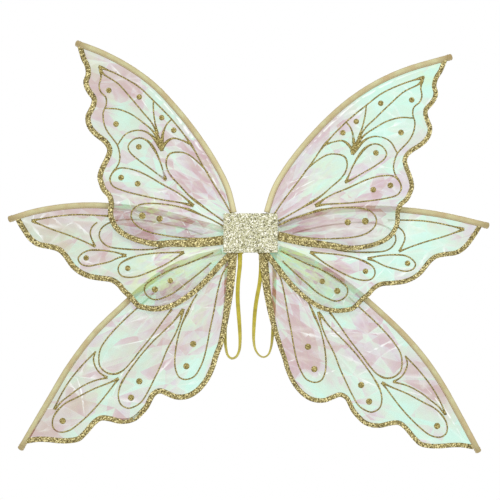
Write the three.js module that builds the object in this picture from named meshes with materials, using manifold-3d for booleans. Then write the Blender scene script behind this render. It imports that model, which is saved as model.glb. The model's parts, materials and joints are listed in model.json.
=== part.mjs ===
// Fairy wings: six wire-framed film wings fanned out from one hub, with two elastic arm loops.
// Millimetres, +Z up. The wearer's back is towards +Y and the glitter cover faces -Y. The origin is
// the centre of the back pad's rear face. Each side has an upper, a middle and a lower wing.
import * as THREE from "three";
import { mergeVertices } from "three/addons/utils/BufferGeometryUtils.js";
import Module from "manifold-3d";

const wasm = await Module();
wasm.setup();

// ---- driving dimensions -------------------------------------------------------------------------
const GAP = 0.3; // between neighbouring pieces

const COVER = { width: 102, height: 74, corner: 3, thick: 1.4 };
const PLATE = { width: 96, height: 68, corner: 4, skin: 1.6 };
const PAD = { width: 98, height: 70, corner: 6, thick: 3 };
const RIVET = { radius: 2.2, head: 3.6, headThick: 0.9 };
const RIVET_PLACES = [[-41, 27], [41, 27], [-24, -29.5], [24, -29.5]];

const WIRE_RADIUS = 1.1;
const LAYER_STEP = 2.6; // between the wires of neighbouring wings, front to back
const CASING = { width: 10, thick: 3.6, slotWidth: 6.4, slotThick: 2.7 };
const FILM_THICK = 0.3;
const EDGE_THICK = 0.5;
const CAP = { width: 11, thick: 4.4, length: 9 };

const FOLD_X = 57; // the vertical line where a side's wings fold
const ROOT_END_X = 52; // what the hub carries stops here, short of the fold
const WING_START_X = FOLD_X + 0.6;
const FILM_START_X = 28; // where a film's outline starts, between the plates
const FAR = 600; // past every wing tip
const SPLAY_STEP = THREE.MathUtils.degToRad(2.5); // each wing leans this much more than the one behind

const STRAP = { width: 8, thick: 3 };
const ANCHOR = { width: 38, height: 16, thick: 1, drop: 4.5, centreX: 32.5 };

const CURVE_STEP = 27; // along the wires and casings
const ROOT_STEP = 9; // along the bent roots
const ROUND_SIDES = 12; // of the rivets and their holes
const EDGE_STEP = 13; // along the scalloped edges

// Distances of the three layers from the wearer, worked out from the stack of pad and plates.
const LOWER_Y = -(PAD.thick + GAP + PLATE.skin + GAP + WIRE_RADIUS);
const MIDDLE_Y = LOWER_Y - LAYER_STEP;
const UPPER_Y = MIDDLE_Y - LAYER_STEP;
const PLATES_BACK = -(PAD.thick + GAP);
const PLATES_FRONT = UPPER_Y - WIRE_RADIUS - GAP - PLATE.skin;

// ---- shapes of the wings, as x outwards and z up ------------------------------------------------
// root: the bent end that the plates clamp. lead: the bent wire, from the hub to the tip.
// Each wire is bent by hand, so the left and right ones differ a little.
const WIRES = {
  right_upper: {
    root: [[12, 5], [20, 9], [26, 22]],
    lead: [[30, 37], [45, 83], [66, 119], [97, 160], [142, 209], [188, 249], [238, 281], [292, 305],
      [379, 330]],
  },
  left_upper: {
    root: [[-12, 5], [-20, 9], [-27, 22]],
    lead: [[-31, 37], [-44, 86], [-70, 137], [-104, 188], [-140, 233], [-181, 276], [-229, 311],
      [-281, 338], [-329, 356]],
  },
  right_middle: {
    root: [[10, -5], [24, 2]],
    lead: [[48, 12], [71, 21], [112, 34], [165, 43], [228, 46], [290, 43], [346, 36], [395, 26],
      [448, 13]],
  },
  left_middle: {
    root: [[-10, -5], [-24, 1]],
    lead: [[-48, 5], [-72, 12], [-117, 24], [-164, 37], [-234, 48], [-300, 52], [-352, 49],
      [-405, 40], [-455, 25]],
  },
  right_lower: {
    root: [[8, -12], [20, -20]],
    lead: [[46, -27], [72, -35], [100, -46], [150, -75], [199, -110], [244, -149], [287, -190],
      [326, -235], [359, -283], [391, -340], [430, -413]],
  },
  left_lower: {
    root: [[-8, -14], [-20, -24]],
    lead: [[-46, -32], [-72, -39], [-104, -47], [-150, -66], [-198, -99], [-246, -142], [-294, -189],
      [-341, -251], [-380, -316], [-434, -408]],
  },
};

// The printed film of each pair is one pattern, so the trailing edge is drawn once, for the right,
// from the tip to the hub. turn and shift say how the left film sits after it is mirrored.
// leftEnd: the left film's own last points, where it differs. rootAbove: whether the part of the film
// beside the hub shows above the cover or below it.
const FILMS = {
  upper: {
    turn: THREE.MathUtils.degToRad(-6),
    shift: [8.7, -12.4],
    trail: [[368, 320], [360, 301], [352, 288], [349, 275], [352, 262], [349, 250], [341, 238],
      [333, 229], [333, 221], [337, 209], [341, 198], [339, 183], [331, 170], [319, 160], [306, 152],
      [298, 145], [294, 137], [297, 123], [302, 110], [306, 97], [307, 85], [303, 73], [296, 60],
      [285, 50], [281, 40], [280, 18], [275, 5], [267, -7], [254, -17], [235, -25], [209, -31],
      [183, -33], [157, -30], [105, -25], [79, -20], [52, -14], [30, -9]],
    rootWidth: 17,
    rootAbove: true,
  },
  middle: {
    turn: THREE.MathUtils.degToRad(-3.2),
    shift: [-11, -6.5],
    trail: [[431, 7], [425, -3], [418, -13], [409, -25], [398, -35], [386, -41], [365, -44],
      [349, -48], [339, -56], [331, -66], [322, -77], [307, -88], [289, -95], [267, -98], [246, -100],
      [234, -107], [225, -117], [213, -127], [194, -145], [178, -149], [160, -150], [142, -147],
      [124, -140], [105, -128], [90, -116], [75, -102], [60, -85], [40, -60], [18, -34]],
    rootWidth: 11,
    rootAbove: false,
  },
  lower: {
    turn: THREE.MathUtils.degToRad(-1),
    shift: [3.8, 3.3],
    trail: [[415, -406], [397, -403], [379, -403], [354, -405], [333, -404], [318, -400],
      [306, -389], [288, -368], [278, -361], [263, -362], [245, -366], [227, -365], [212, -359],
      [200, -348], [190, -336], [184, -324], [178, -313], [169, -308], [157, -312], [142, -318],
      [127, -319], [111, -315], [96, -305], [84, -292], [75, -278], [66, -257], [60, -236],
      [52, -214], [37, -166], [25, -111], [17, -50], [15, -30]],
    leftEnd: [[-52, -210], [-41.5, -162], [-32, -107], [-27, -60], [-25, -34]],
    rootWidth: 16,
    rootAbove: false,
  },
};
const EDGE_WIDTH = 9; // of the glitter edge, away from the hub
const CASING_REACH = CAP.width / 2 + GAP; // how far from the wire the film and its edge start
const EDGE_SLACK = 0.3; // how much narrower the glitter edge may get in a tight bend
const FOLD_ROOM = 1; // between the fold line and a wire's or casing's cut end

const LAYERS = {
  upper: { y: UPPER_Y, splay: 2 * SPLAY_STEP },
  middle: { y: MIDDLE_Y, splay: SPLAY_STEP },
  lower: { y: LOWER_Y, splay: 0 },
};

// The arm loops, from their inner end at the anchor, down, round and up to their outer end.
const STRAP_ROUTES = {
  right: [[20, -2.2, -44], [20, -2.2, -60], [19, -2.2, -78], [16.5, -1, -98], [12.5, 0.5, -119],
    [9, 1.6, -142], [7, 2, -165], [6, 2, -185], [6, 2, -203], [9, 2, -219], [16, 2, -230],
    [25, 2, -234], [33.5, 2, -229], [38.5, 2, -216], [41, 2, -198], [42.5, 1.6, -176],
    [43.5, 1, -150], [44.3, 0.3, -120], [45, -1, -90], [45, -2, -64], [45, -2.2, -44]],
  left: [[-20, -2.2, -44], [-20, -2.2, -60], [-22, -2.2, -80], [-23.8, -1, -101], [-24.2, 0.5, -122],
    [-23, 1.6, -145], [-21.2, 2, -168], [-20, 2, -188], [-19.8, 2, -206], [-21.5, 2, -222],
    [-27, 2, -233], [-35, 2, -236.5], [-42.5, 2, -231], [-46.5, 2, -216], [-48, 2, -196],
    [-48, 1.6, -174], [-47.3, 1, -148], [-46.2, 0.3, -118], [-45.4, -1, -90], [-45, -2, -64],
    [-45, -2.2, -44]],
};
const STRAP_STEPS = 44;

// ---- materials ----------------------------------------------------------------------------------
const finish = (color, roughness, metalness, extra = {}) =>
  new THREE.MeshStandardMaterial({ color, roughness, metalness, ...extra });
const glitterFabric = finish(0xcdc3a4, 0.45, 0.5);
const glitterPrint = finish(0xa58c4b, 0.4, 0.6);
const goldFabric = finish(0xc5b482, 0.6, 0.1);
const steel = finish(0xb8b8b4, 0.35, 0.9);
const platePlastic = finish(0xe8e4d8, 0.5, 0);
const padFelt = finish(0xd9c98f, 0.95, 0);
const elastic = finish(0xb4a532, 0.8, 0);
const filmPlastic = finish(0xe6e4ea, 0.15, 0, { transparent: true, opacity: 0.45 });

// ---- helpers ------------------------------------------------------------------------------------
const flat = (points) => points.map(([x, z]) => new THREE.Vector2(x, z));
const inLayer = (points) => points.map(([x, z]) => new THREE.Vector3(x, 0, z));

/** A stretch of a longer curve, between two shares of its length. */
class Stretch extends THREE.Curve {
  constructor(whole, from, to) {
    super();
    this.whole = whole;
    this.from = from;
    this.to = to;
  }

  getPoint(t, target = new THREE.Vector3()) {
    return this.whole.getPointAt(this.from + t * (this.to - this.from), target);
  }
}

function named(name, geometry, material) {
  const mesh = new THREE.Mesh(geometry, material);
  mesh.name = name;
  return mesh;
}

/** A flat plate: the outline lies in the XZ plane, and the plate's rear face is at y = back. */
function plate(shape, back, thick) {
  const options = { depth: thick, bevelEnabled: false, curveSegments: 5 };
  const geometry = new THREE.ExtrudeGeometry(shape, options);
  return geometry.rotateX(Math.PI / 2).translate(0, back, 0);
}

function roundedRectangle(width, height, corner) {
  const [x, z] = [width / 2 - corner, height / 2 - corner];
  const shape = new THREE.Shape();
  shape.absarc(x, z, corner, 0, Math.PI / 2);
  shape.absarc(-x, z, corner, Math.PI / 2, Math.PI);
  shape.absarc(-x, -z, corner, Math.PI, 1.5 * Math.PI);
  shape.absarc(x, -z, corner, 1.5 * Math.PI, 2 * Math.PI);
  return shape;
}

/** An oval with flat sides; thick is measured along Y once it is swept, and width across it. */
function ovalPoints(thick, width, sides) {
  const points = [];
  for (let i = 0; i < sides; i += 1) {
    const angle = ((i + 0.5) / sides) * 2 * Math.PI;
    const stretch = 1 / Math.cos(Math.PI / sides);
    points.push(new THREE.Vector2((thick / 2) * stretch * Math.cos(angle),
      (width / 2) * stretch * Math.sin(angle)));
  }
  return points;
}

function sweep(section, path, steps) {
  return new THREE.ExtrudeGeometry(section, { extrudePath: path, steps, bevelEnabled: false });
}

function toSolid(geometry) {
  const bare = geometry.clone();
  bare.deleteAttribute("normal");
  bare.deleteAttribute("uv");
  const merged = mergeVertices(bare, 1e-4);
  return new wasm.Manifold(new wasm.Mesh({
    numProp: 3,
    vertProperties: new Float32Array(merged.attributes.position.array),
    triVerts: new Uint32Array(merged.index.array),
  }));
}

function toGeometry(solid) {
  const mesh = solid.getMesh();
  const geometry = new THREE.BufferGeometry();
  geometry.setAttribute("position", new THREE.BufferAttribute(mesh.vertProperties, 3));
  geometry.setIndex(new THREE.BufferAttribute(mesh.triVerts, 1));
  return geometry;
}

function cut(geometry, tools) {
  return toGeometry(tools.reduce((solid, tool) => solid.subtract(toSolid(tool)), toSolid(geometry)));
}

function common(geometry, other) {
  return toGeometry(toSolid(geometry).intersect(toSolid(other)));
}

/** A tall box between two x and two z limits, which keeps one part of a flat piece. */
function window([x0, x1], [z0, z1]) {
  const box = new THREE.BoxGeometry(Math.abs(x1 - x0), FAR, Math.abs(z1 - z0));
  return box.translate((x0 + x1) / 2, 0, (z0 + z1) / 2);
}

/** The share of a curve's length at which a measure of its points passes a limit. */
function shareWhere(curve, measure, limit) {
  let [inner, outer] = [0, 1];
  for (let i = 0; i < 40; i += 1) {
    const middle = (inner + outer) / 2;
    if (measure(curve.getPointAt(middle)) < limit) {
      inner = middle;
    } else {
      outer = middle;
    }
  }
  return outer;
}

const shareAtX = (curve, limit) => shareWhere(curve, (p) => Math.abs(p.x), limit);
const shareAtHeight = (curve, limit) => shareWhere(curve, (p) => p.z, limit);

/** Points beside a flat line, to its left by the given distance at each share of its length. */
function beside(points, distanceAt) {
  return points.map((point, i) => {
    const before = points[Math.max(i - 1, 0)];
    const after = points[Math.min(i + 1, points.length - 1)];
    const along = after.clone().sub(before).normalize();
    const distance = distanceAt(i / (points.length - 1));
    return new THREE.Vector2(point.x - along.y * distance, point.y + along.x * distance);
  });
}

function clearance(point, line) {
  let best = Infinity;
  for (let i = 1; i < line.length; i += 1) {
    const span = line[i].clone().sub(line[i - 1]);
    const share = THREE.MathUtils.clamp(point.clone().sub(line[i - 1]).dot(span) / span.lengthSq(), 0, 1);
    best = Math.min(best, point.distanceTo(line[i - 1].clone().addScaledVector(span, share)));
  }
  return best;
}

// ---- one wing -----------------------------------------------------------------------------------
function leadCurve(name) {
  const { root, lead } = WIRES[name];
  return new THREE.CatmullRomCurve3(inLayer([...root, ...lead]));
}

/** The scalloped edge, from the tip to the hub. */
function trailingEdge(side, film) {
  const [dx, dz] = side > 0 ? [0, 0] : film.shift;
  const turn = side > 0 ? 0 : film.turn;
  const origin = new THREE.Vector2();
  const placed = film.trail.map(([x, z]) =>
    new THREE.Vector2(side * x, z).rotateAround(origin, turn).add(new THREE.Vector2(dx, dz)));
  if (side < 0 && film.leftEnd) {
    placed.splice(-film.leftEnd.length, film.leftEnd.length, ...flat(film.leftEnd));
  }
  const spline = new THREE.CatmullRomCurve3(placed.map((p) => new THREE.Vector3(p.x, p.y, 0)));
  const count = Math.round(spline.getLength() / EDGE_STEP);
  return spline.getSpacedPoints(count).map((p) => new THREE.Vector2(p.x, p.y));
}

/** The wire's line seen flat, which the film and its edge stay clear of. */
function flatLead(lead) {
  const start = shareAtX(lead, FILM_START_X);
  const count = Math.round(lead.getLength() / CURVE_STEP);
  return new Stretch(lead, start, 1).getSpacedPoints(count).map((p) => new THREE.Vector2(p.x, p.z));
}

function filmOutline(side, lead, trail) {
  const line = beside(flatLead(lead), () => -side * CASING_REACH);
  const tip = trail[0];
  const nearTip = line.findIndex((p) => Math.abs(p.x) > Math.abs(tip.x) - EDGE_STEP / 2);
  return [...line.slice(0, nearTip), ...trail];
}

function edgeOutline(side, film, lead, trail) {
  const width = (share) => THREE.MathUtils.lerp(EDGE_WIDTH, film.rootWidth,
    THREE.MathUtils.smoothstep(share, 0.7, 1));
  const wire = flatLead(lead);
  const inner = beside(trail, (share) => -side * width(share));
  const kept = inner.filter((point, i) => {
    const wanted = width(i / (inner.length - 1));
    return clearance(point, trail) > wanted - EDGE_SLACK && clearance(point, wire) > CASING_REACH;
  });
  return [...trail, ...kept.reverse()];
}

function casingGeometry(path, steps) {
  const section = new THREE.Shape(ovalPoints(CASING.thick, CASING.width, 8));
  section.holes.push(new THREE.Path(ovalPoints(CASING.slotThick, CASING.slotWidth, 6)));
  return sweep(section, path, steps);
}

function makeWing(side, layerName) {
  const name = `${side > 0 ? "right" : "left"}_${layerName}`;
  const layer = LAYERS[layerName];
  const film = FILMS[layerName];
  const lead = leadCurve(name);
  const length = lead.getLength();
  const stepsOf = (path) => Math.round(path.getLength() / CURVE_STEP);

  // A casing end is cut square to the wire, so its inner corner sets how close it comes to the fold.
  const slope = lead.getTangentAt(shareAtX(lead, FOLD_X));
  const reach = (half) => FOLD_X + GAP + FOLD_ROOM + half * Math.abs(slope.z);
  const casingEnd = 1 - (CAP.length + GAP) / length;
  const casingPath = new Stretch(lead, shareAtX(lead, reach(CASING.width / 2)), casingEnd);
  const wirePath = new Stretch(lead, shareAtX(lead, reach(WIRE_RADIUS)), casingEnd - 1 / length);
  const capPath = new Stretch(lead, 1 - CAP.length / length, 1);

  const trail = trailingEdge(side, film).filter((p) => clearance(p, flatLead(lead)) > CASING_REACH);
  const outline = new THREE.Shape(filmOutline(side, lead, trail));
  const edge = new THREE.Shape(edgeOutline(side, film, lead, trail));
  const filmFront = -FILM_THICK / 2;
  const outside = window([side * WING_START_X, side * FAR], [-FAR, FAR]);

  const flatWing = new THREE.Group();
  flatWing.position.set(-side * FOLD_X, layer.y - MIDDLE_Y, 0);
  flatWing.add(
    named(`wire_${name}`,
      sweep(new THREE.Shape(ovalPoints(2 * WIRE_RADIUS, 2 * WIRE_RADIUS, 6)), wirePath,
        stepsOf(wirePath)), steel),
    named(`casing_${name}`, casingGeometry(casingPath, stepsOf(casingPath)), goldFabric),
    named(`tip_cap_${name}`,
      sweep(new THREE.Shape(ovalPoints(CAP.thick, CAP.width, 12)), capPath, 2), goldFabric),
    named(`film_${name}`, common(plate(outline, FILM_THICK / 2, FILM_THICK), outside),
      filmPlastic),
    named(`glitter_edge_${name}`, common(plate(edge, filmFront - GAP, EDGE_THICK), outside),
      glitterPrint),
  );
  const hinged = new THREE.Group();
  hinged.position.set(side * FOLD_X, MIDDLE_Y, 0);
  hinged.rotation.z = -side * layer.splay;
  hinged.add(flatWing);
  return hinged;
}

// ---- the hub ------------------------------------------------------------------------------------
function rootPath(name) {
  const lead = leadCurve(name);
  return new Stretch(lead, 0, shareAtX(lead, ROOT_END_X));
}

/** The film beside the hub, between the cover's edge and the fold. */
function filmRoot(name, layer) {
  const [sideName, layerName] = name.split("_");
  const side = sideName === "right" ? 1 : -1;
  const lead = leadCurve(name);
  const film = FILMS[layerName];
  const outline = new THREE.Shape(filmOutline(side, lead, trailingEdge(side, film)));
  const up = film.rootAbove ? 1 : -1;
  const edge = COVER.height / 2 + GAP;
  const pastCover = window([0, side * ROOT_END_X], [up * edge, up * FAR]);
  const geometry = common(plate(outline, FILM_THICK / 2, FILM_THICK), pastCover);
  return named(`film_root_${name}`, geometry.translate(0, layer.y, 0), filmPlastic);
}

/** The start of an upper wing's casing, between the cover's top edge and the fold. */
function casingRoot(name, layer) {
  const lead = leadCurve(name);
  const from = shareAtHeight(lead, COVER.height / 2 + CASING.width / 4);
  const slope = lead.getTangentAt(shareAtX(lead, ROOT_END_X));
  const to = shareAtX(lead, ROOT_END_X - (CASING.width / 2) * Math.abs(slope.z));
  const path = new Stretch(lead, from, to);
  const steps = Math.round(path.getLength() / ROOT_STEP);
  return named(`casing_root_${name}`, casingGeometry(path, steps).translate(0, layer.y, 0), goldFabric);
}

function wireRoot(name, layer) {
  const path = rootPath(name);
  const section = new THREE.Shape(ovalPoints(2 * WIRE_RADIUS, 2 * WIRE_RADIUS, 8));
  const steps = Math.round(path.getLength() / ROOT_STEP);
  return named(`wire_root_${name}`, sweep(section, path, steps).translate(0, layer.y, 0), steel);
}

/** The channel that a wire root lies in, open towards the face where the two plates meet. */
function channel(name, layer) {
  const half = WIRE_RADIUS + GAP;
  const toJoint = layer.y - MIDDLE_Y;
  const deepest = layer.y + Math.sign(toJoint) * half;
  const middle = toJoint === 0 ? MIDDLE_Y : (deepest + MIDDLE_Y) / 2;
  const depth = toJoint === 0 ? half : Math.abs(deepest - MIDDLE_Y) / 2;
  const section = new THREE.Shape(flat([[-depth, -half], [depth, -half], [depth, half], [-depth, half]]));
  const path = rootPath(name);
  const steps = Math.round(path.getLength() / ROOT_STEP);
  const startRelief = new THREE.BoxGeometry(2 * half, 2 * depth, 2 * half);
  const start = path.getPoint(0);
  startRelief.translate(start.x, middle, start.z);
  return [sweep(section, path, steps).translate(0, middle, 0), startRelief];
}

function cylinderAlongY(radius, back, front, [x, z]) {
  const geometry = new THREE.CylinderGeometry(radius, radius, back - front, ROUND_SIDES);
  return geometry.translate(x, (back + front) / 2, z);
}

/** A rivet: a shank through both plates, with a head sunk in each outer face. */
function rivetGeometry(place) {
  const profile = [
    [0, PLATES_BACK], [RIVET.head, PLATES_BACK], [RIVET.head, PLATES_BACK - RIVET.headThick],
    [RIVET.radius, PLATES_BACK - RIVET.headThick], [RIVET.radius, PLATES_FRONT + RIVET.headThick],
    [RIVET.head, PLATES_FRONT + RIVET.headThick], [RIVET.head, PLATES_FRONT], [0, PLATES_FRONT],
  ].reverse();
  const geometry = new THREE.LatheGeometry(flat(profile), ROUND_SIDES);
  return geometry.translate(place[0], 0, place[1]);
}

function rivetHole(place) {
  const deep = RIVET.headThick + GAP;
  return [
    cylinderAlongY(RIVET.radius + GAP, PLATES_BACK + 1, PLATES_FRONT - 1, place),
    cylinderAlongY(RIVET.head + GAP, PLATES_BACK + 1, PLATES_BACK - deep, place),
    cylinderAlongY(RIVET.head + GAP, PLATES_FRONT + deep, PLATES_FRONT - 1, place),
  ];
}

function anchorPocket(side) {
  const [width, height] = [ANCHOR.width + 2 * GAP, ANCHOR.height + GAP];
  const depth = ANCHOR.thick + GAP;
  const bottom = -PAD.height / 2 - ANCHOR.drop;
  const pocket = new THREE.BoxGeometry(width, depth + 1, height);
  return pocket.translate(side * ANCHOR.centreX, -PAD.thick + (depth - 1) / 2, bottom + height / 2);
}

function anchorGeometry(side) {
  const geometry = new THREE.BoxGeometry(ANCHOR.width, ANCHOR.thick, ANCHOR.height);
  const bottom = -PAD.height / 2 - ANCHOR.drop;
  return geometry.translate(side * ANCHOR.centreX, -PAD.thick + ANCHOR.thick / 2,
    bottom + ANCHOR.height / 2);
}

function makeHub() {
  const hub = new THREE.Group();
  const wings = Object.keys(WIRES).map((name) => [name, LAYERS[name.split("_")[1]]]);
  const plateShape = roundedRectangle(PLATE.width, PLATE.height, PLATE.corner);
  const behind = wings.filter(([, layer]) => layer.y >= MIDDLE_Y);
  const before = wings.filter(([, layer]) => layer.y <= MIDDLE_Y);
  const channels = (list) => list.flatMap(([name, layer]) => channel(name, layer));
  const rivetHoles = RIVET_PLACES.flatMap(rivetHole);
  const jointGap = GAP / 2;

  const base = plate(plateShape, PLATES_BACK, PLATES_BACK - MIDDLE_Y - jointGap);
  const clamp = plate(plateShape, MIDDLE_Y - jointGap, MIDDLE_Y - jointGap - PLATES_FRONT);
  const coverShape = roundedRectangle(COVER.width, COVER.height, COVER.corner);
  const padShape = roundedRectangle(PAD.width, PAD.height, PAD.corner);
  const pad = cut(plate(padShape, 0, PAD.thick), [anchorPocket(-1), anchorPocket(1)]);

  hub.add(
    named("glitter_cover", plate(coverShape, PLATES_FRONT - GAP, COVER.thick), glitterFabric),
    named("clamp_plate", cut(clamp, [...channels(before), ...rivetHoles]), platePlastic),
    named("base_plate", cut(base, [...channels(behind), ...rivetHoles]), platePlastic),
    named("back_pad", pad, padFelt),
  );
  RIVET_PLACES.forEach((place, i) => {
    hub.add(named(`rivet_${i + 1}`, rivetGeometry(place), steel));
  });
  for (const [name, layer] of wings) {
    hub.add(wireRoot(name, layer), filmRoot(name, layer));
  }
  for (const side of ["left", "right"]) {
    hub.add(casingRoot(`${side}_upper`, LAYERS.upper));
  }
  hub.add(named("strap_anchor_left", anchorGeometry(-1), elastic));
  hub.add(named("strap_anchor_right", anchorGeometry(1), elastic));
  return hub;
}

function makeStrap(name) {
  const route = new THREE.CatmullRomCurve3(STRAP_ROUTES[name].map((p) => new THREE.Vector3(...p)));
  const section = new THREE.Shape(ovalPoints(STRAP.thick, STRAP.width, 8));
  return named(`strap_${name}`, sweep(section, route, STRAP_STEPS), elastic);
}

// ---- the whole object ---------------------------------------------------------------------------
const group = new THREE.Group();
group.add(makeHub());
for (const side of [-1, 1]) {
  for (const layerName of Object.keys(LAYERS)) {
    group.add(makeWing(side, layerName));
  }
}
group.add(makeStrap("left"), makeStrap("right"));

export default group;
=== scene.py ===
"""Fairy wings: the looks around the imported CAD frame. Shapes are worked out in millimetres."""

import json
import math
import random

import bpy
import numpy as np
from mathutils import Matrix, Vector, geometry
from mathutils.bvhtree import BVHTree


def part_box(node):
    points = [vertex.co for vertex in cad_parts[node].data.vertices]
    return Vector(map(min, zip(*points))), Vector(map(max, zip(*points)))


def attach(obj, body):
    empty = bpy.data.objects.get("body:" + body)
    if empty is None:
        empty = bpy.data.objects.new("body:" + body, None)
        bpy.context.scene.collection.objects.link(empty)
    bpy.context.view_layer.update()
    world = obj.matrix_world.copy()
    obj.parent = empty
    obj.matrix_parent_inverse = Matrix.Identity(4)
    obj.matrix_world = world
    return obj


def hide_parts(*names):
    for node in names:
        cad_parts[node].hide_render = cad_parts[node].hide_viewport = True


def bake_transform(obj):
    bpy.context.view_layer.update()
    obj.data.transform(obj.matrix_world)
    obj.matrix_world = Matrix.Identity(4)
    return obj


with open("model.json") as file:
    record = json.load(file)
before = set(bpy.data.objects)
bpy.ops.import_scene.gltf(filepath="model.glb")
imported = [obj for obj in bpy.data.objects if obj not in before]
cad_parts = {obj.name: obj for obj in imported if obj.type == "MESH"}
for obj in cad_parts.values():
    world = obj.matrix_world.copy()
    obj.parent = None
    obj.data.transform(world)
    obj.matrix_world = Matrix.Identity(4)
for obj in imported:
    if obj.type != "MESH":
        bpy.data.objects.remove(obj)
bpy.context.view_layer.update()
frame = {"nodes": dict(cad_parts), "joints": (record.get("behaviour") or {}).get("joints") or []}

MM = 0.001
CAMERA_DISTANCE = 6.0
VIEW_MIDDLE = (-0.001, -0.032)
VIEW_WIDTH = 0.9415
SENSOR_WIDTH = 36
WORLD_LIGHT = 0.88
FLOOR_Z = -1000
FLOOR_RADIUS = 1800
FLOOR_SIDES = 64
# The area lights: where they stand in metres, their width and their power.
LIGHTS = {
    "key": ((-1.6, -2.4, 2.2), 1.4, 40),
    "fill": ((2.2, -2.0, 0.6), 1.6, 16),
    "back": ((0.8, 2.8, 1.6), 1.8, 40),
}
SIDES = {"left": -1, "right": 1}
LAYERS = ("upper", "middle", "lower")

# ---- places and sizes from the frame -------------------------------------------------------------
JOINTS = {joint["name"]: joint for joint in frame["joints"]}
FOLD_X = JOINTS["right_upper_fold"]["pos_m"][0] / MM
FOLD_Y = JOINTS["right_upper_fold"]["pos_m"][1] / MM
BEND_HALF = 5
BEND_FROM, BEND_TO = FOLD_X - BEND_HALF, FOLD_X + BEND_HALF


def middle_of(node):
    low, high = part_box(node)
    return (low + high) / 2 / MM


def size_of(node):
    low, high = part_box(node)
    return (high - low) / MM


LAYER_Y = {layer: middle_of(f"film_root_right_{layer}").y for layer in LAYERS}
PLATE = size_of("clamp_plate")
COVER = size_of("glitter_cover")
CASING_STEP = 3.5
CAP_LENGTH = 9.0
CAP_STEP = 0.5
FILM_START_X = 28
FILM_TUCK = 3.0
EDGE_STEP = 2.5
TIP_TUCK = 4.0
FILM_STEP = 11.0
HUB_ROOM = 0.4
# The film's creases spread out from the hub: radii, turns in degrees, unevenness, and how long they run.
CREASES_FROM, CREASES_TO = 16.0, 640
CREASE_TURNS = (-125, 110)
CREASE_JITTER = 0.42
CREASE_SQUEEZE = 0.42
# Painted highlights along folds: how many of the creases get one, how wide in millimetres and how bright.
GLINT_SHARE, GLINT_WIDTHS, GLINT_SHINES, GLINT_FROM = 0.12, (1.2, 3.2), (0.3, 0.9), 75
PATCH_LONG, PATCH_NARROW, PATCH_LIMIT = 1.35, 0.8, 1.3
FAN_SQUEEZE, FAN_SPREAD = 0.32, 150


def splay_of(layer):
    """How far a layer's wings lean forward, from the slope of its film node."""
    low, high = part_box(f"film_right_{layer}")
    thick = size_of(f"film_root_right_{layer}").y
    return math.atan2((high - low).y / MM - thick, (high - low).x / MM)


SPLAY = {layer: splay_of(layer) for layer in LAYERS}

# ---- the wings' patterns, x outwards and z up, in millimetres --------------------------------------
LEADS = {
    "right_upper": [
        (20, 9), (26, 22), (30, 37), (45, 83), (66, 119), (97, 160), (142, 209), (188, 249), (238, 281),
        (292, 305), (379, 330),
    ],
    "left_upper": [
        (-20, 9), (-27, 22), (-31, 37), (-44, 86), (-70, 137), (-104, 188), (-140, 233), (-181, 276),
        (-229, 311), (-281, 338), (-329, 356),
    ],
    "right_middle": [
        (24, 2), (48, 12), (71, 21), (112, 34), (165, 43), (228, 46), (290, 43), (346, 36), (395, 26),
        (448, 13),
    ],
    "left_middle": [
        (-24, 1), (-48, 5), (-72, 12), (-117, 24), (-164, 37), (-234, 48), (-300, 52), (-352, 49),
        (-405, 40), (-455, 25),
    ],
    "right_lower": [
        (20, -20), (46, -27), (72, -35), (100, -46), (150, -75), (199, -110), (244, -149), (287, -190),
        (326, -235), (359, -283), (391, -340), (430, -413),
    ],
    "left_lower": [
        (-20, -24), (-46, -32), (-72, -39), (-104, -47), (-150, -66), (-198, -99), (-246, -142),
        (-294, -189), (-341, -251), (-380, -316), (-434, -408),
    ],
}

# How each left film sits after it is mirrored: a turn in degrees, then a shift.
LEFT_FILM = {"upper": (-6.0, (8.7, -12.4)), "middle": (-3.2, (-11.0, -6.5)), "lower": (-1.0, (3.8, 3.3))}

TRAILS = {
    "upper": [
        (368, 320), (360, 301), (352, 288), (349, 275), (352, 262), (349, 250), (341, 238), (333, 229),
        (333, 221), (337, 209), (341, 198), (339, 183), (331, 170), (319, 160), (306, 152), (298, 145),
        (294, 137), (297, 123), (302, 110), (306, 97), (307, 85), (303, 73), (296, 60), (285, 50),
        (281, 40), (280, 18), (275, 5), (267, -7), (254, -17), (235, -25), (209, -31), (183, -33),
        (157, -30), (105, -25), (79, -20), (52, -14), (30, -9),
    ],
    "middle": [
        (431, 7), (425, -3), (418, -13), (409, -25), (398, -35), (386, -41), (365, -44), (349, -48),
        (339, -56), (331, -66), (322, -77), (307, -88), (289, -95), (267, -98), (246, -100), (234, -107),
        (225, -117), (213, -127), (194, -145), (178, -149), (160, -150), (142, -147), (124, -140),
        (105, -128), (90, -116), (75, -102), (60, -85), (40, -60), (18, -34),
    ],
    "lower": [
        (415, -406), (397, -403), (379, -403), (354, -405), (333, -404), (318, -400), (306, -389),
        (288, -368), (278, -361), (263, -362), (245, -366), (227, -365), (212, -359), (200, -348),
        (190, -336), (184, -324), (178, -313), (169, -308), (157, -312), (142, -318), (127, -319),
        (111, -315), (96, -305), (84, -292), (75, -278), (66, -257), (60, -236), (52, -214), (37, -166),
        (25, -111), (17, -50), (15, -30),
    ],
}
# The left lower film's own last points, where it differs from the pattern.
LEFT_LOWER_END = [(-52, -210), (-41.5, -162), (-32, -107), (-27, -60), (-25, -34)]
EDGE_WIDTH = {"left": 9.8, "right": 8.3}
ROOT_EDGE_WIDTH = {"upper": 17.0, "middle": 11.0, "lower": 16.0}

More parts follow.
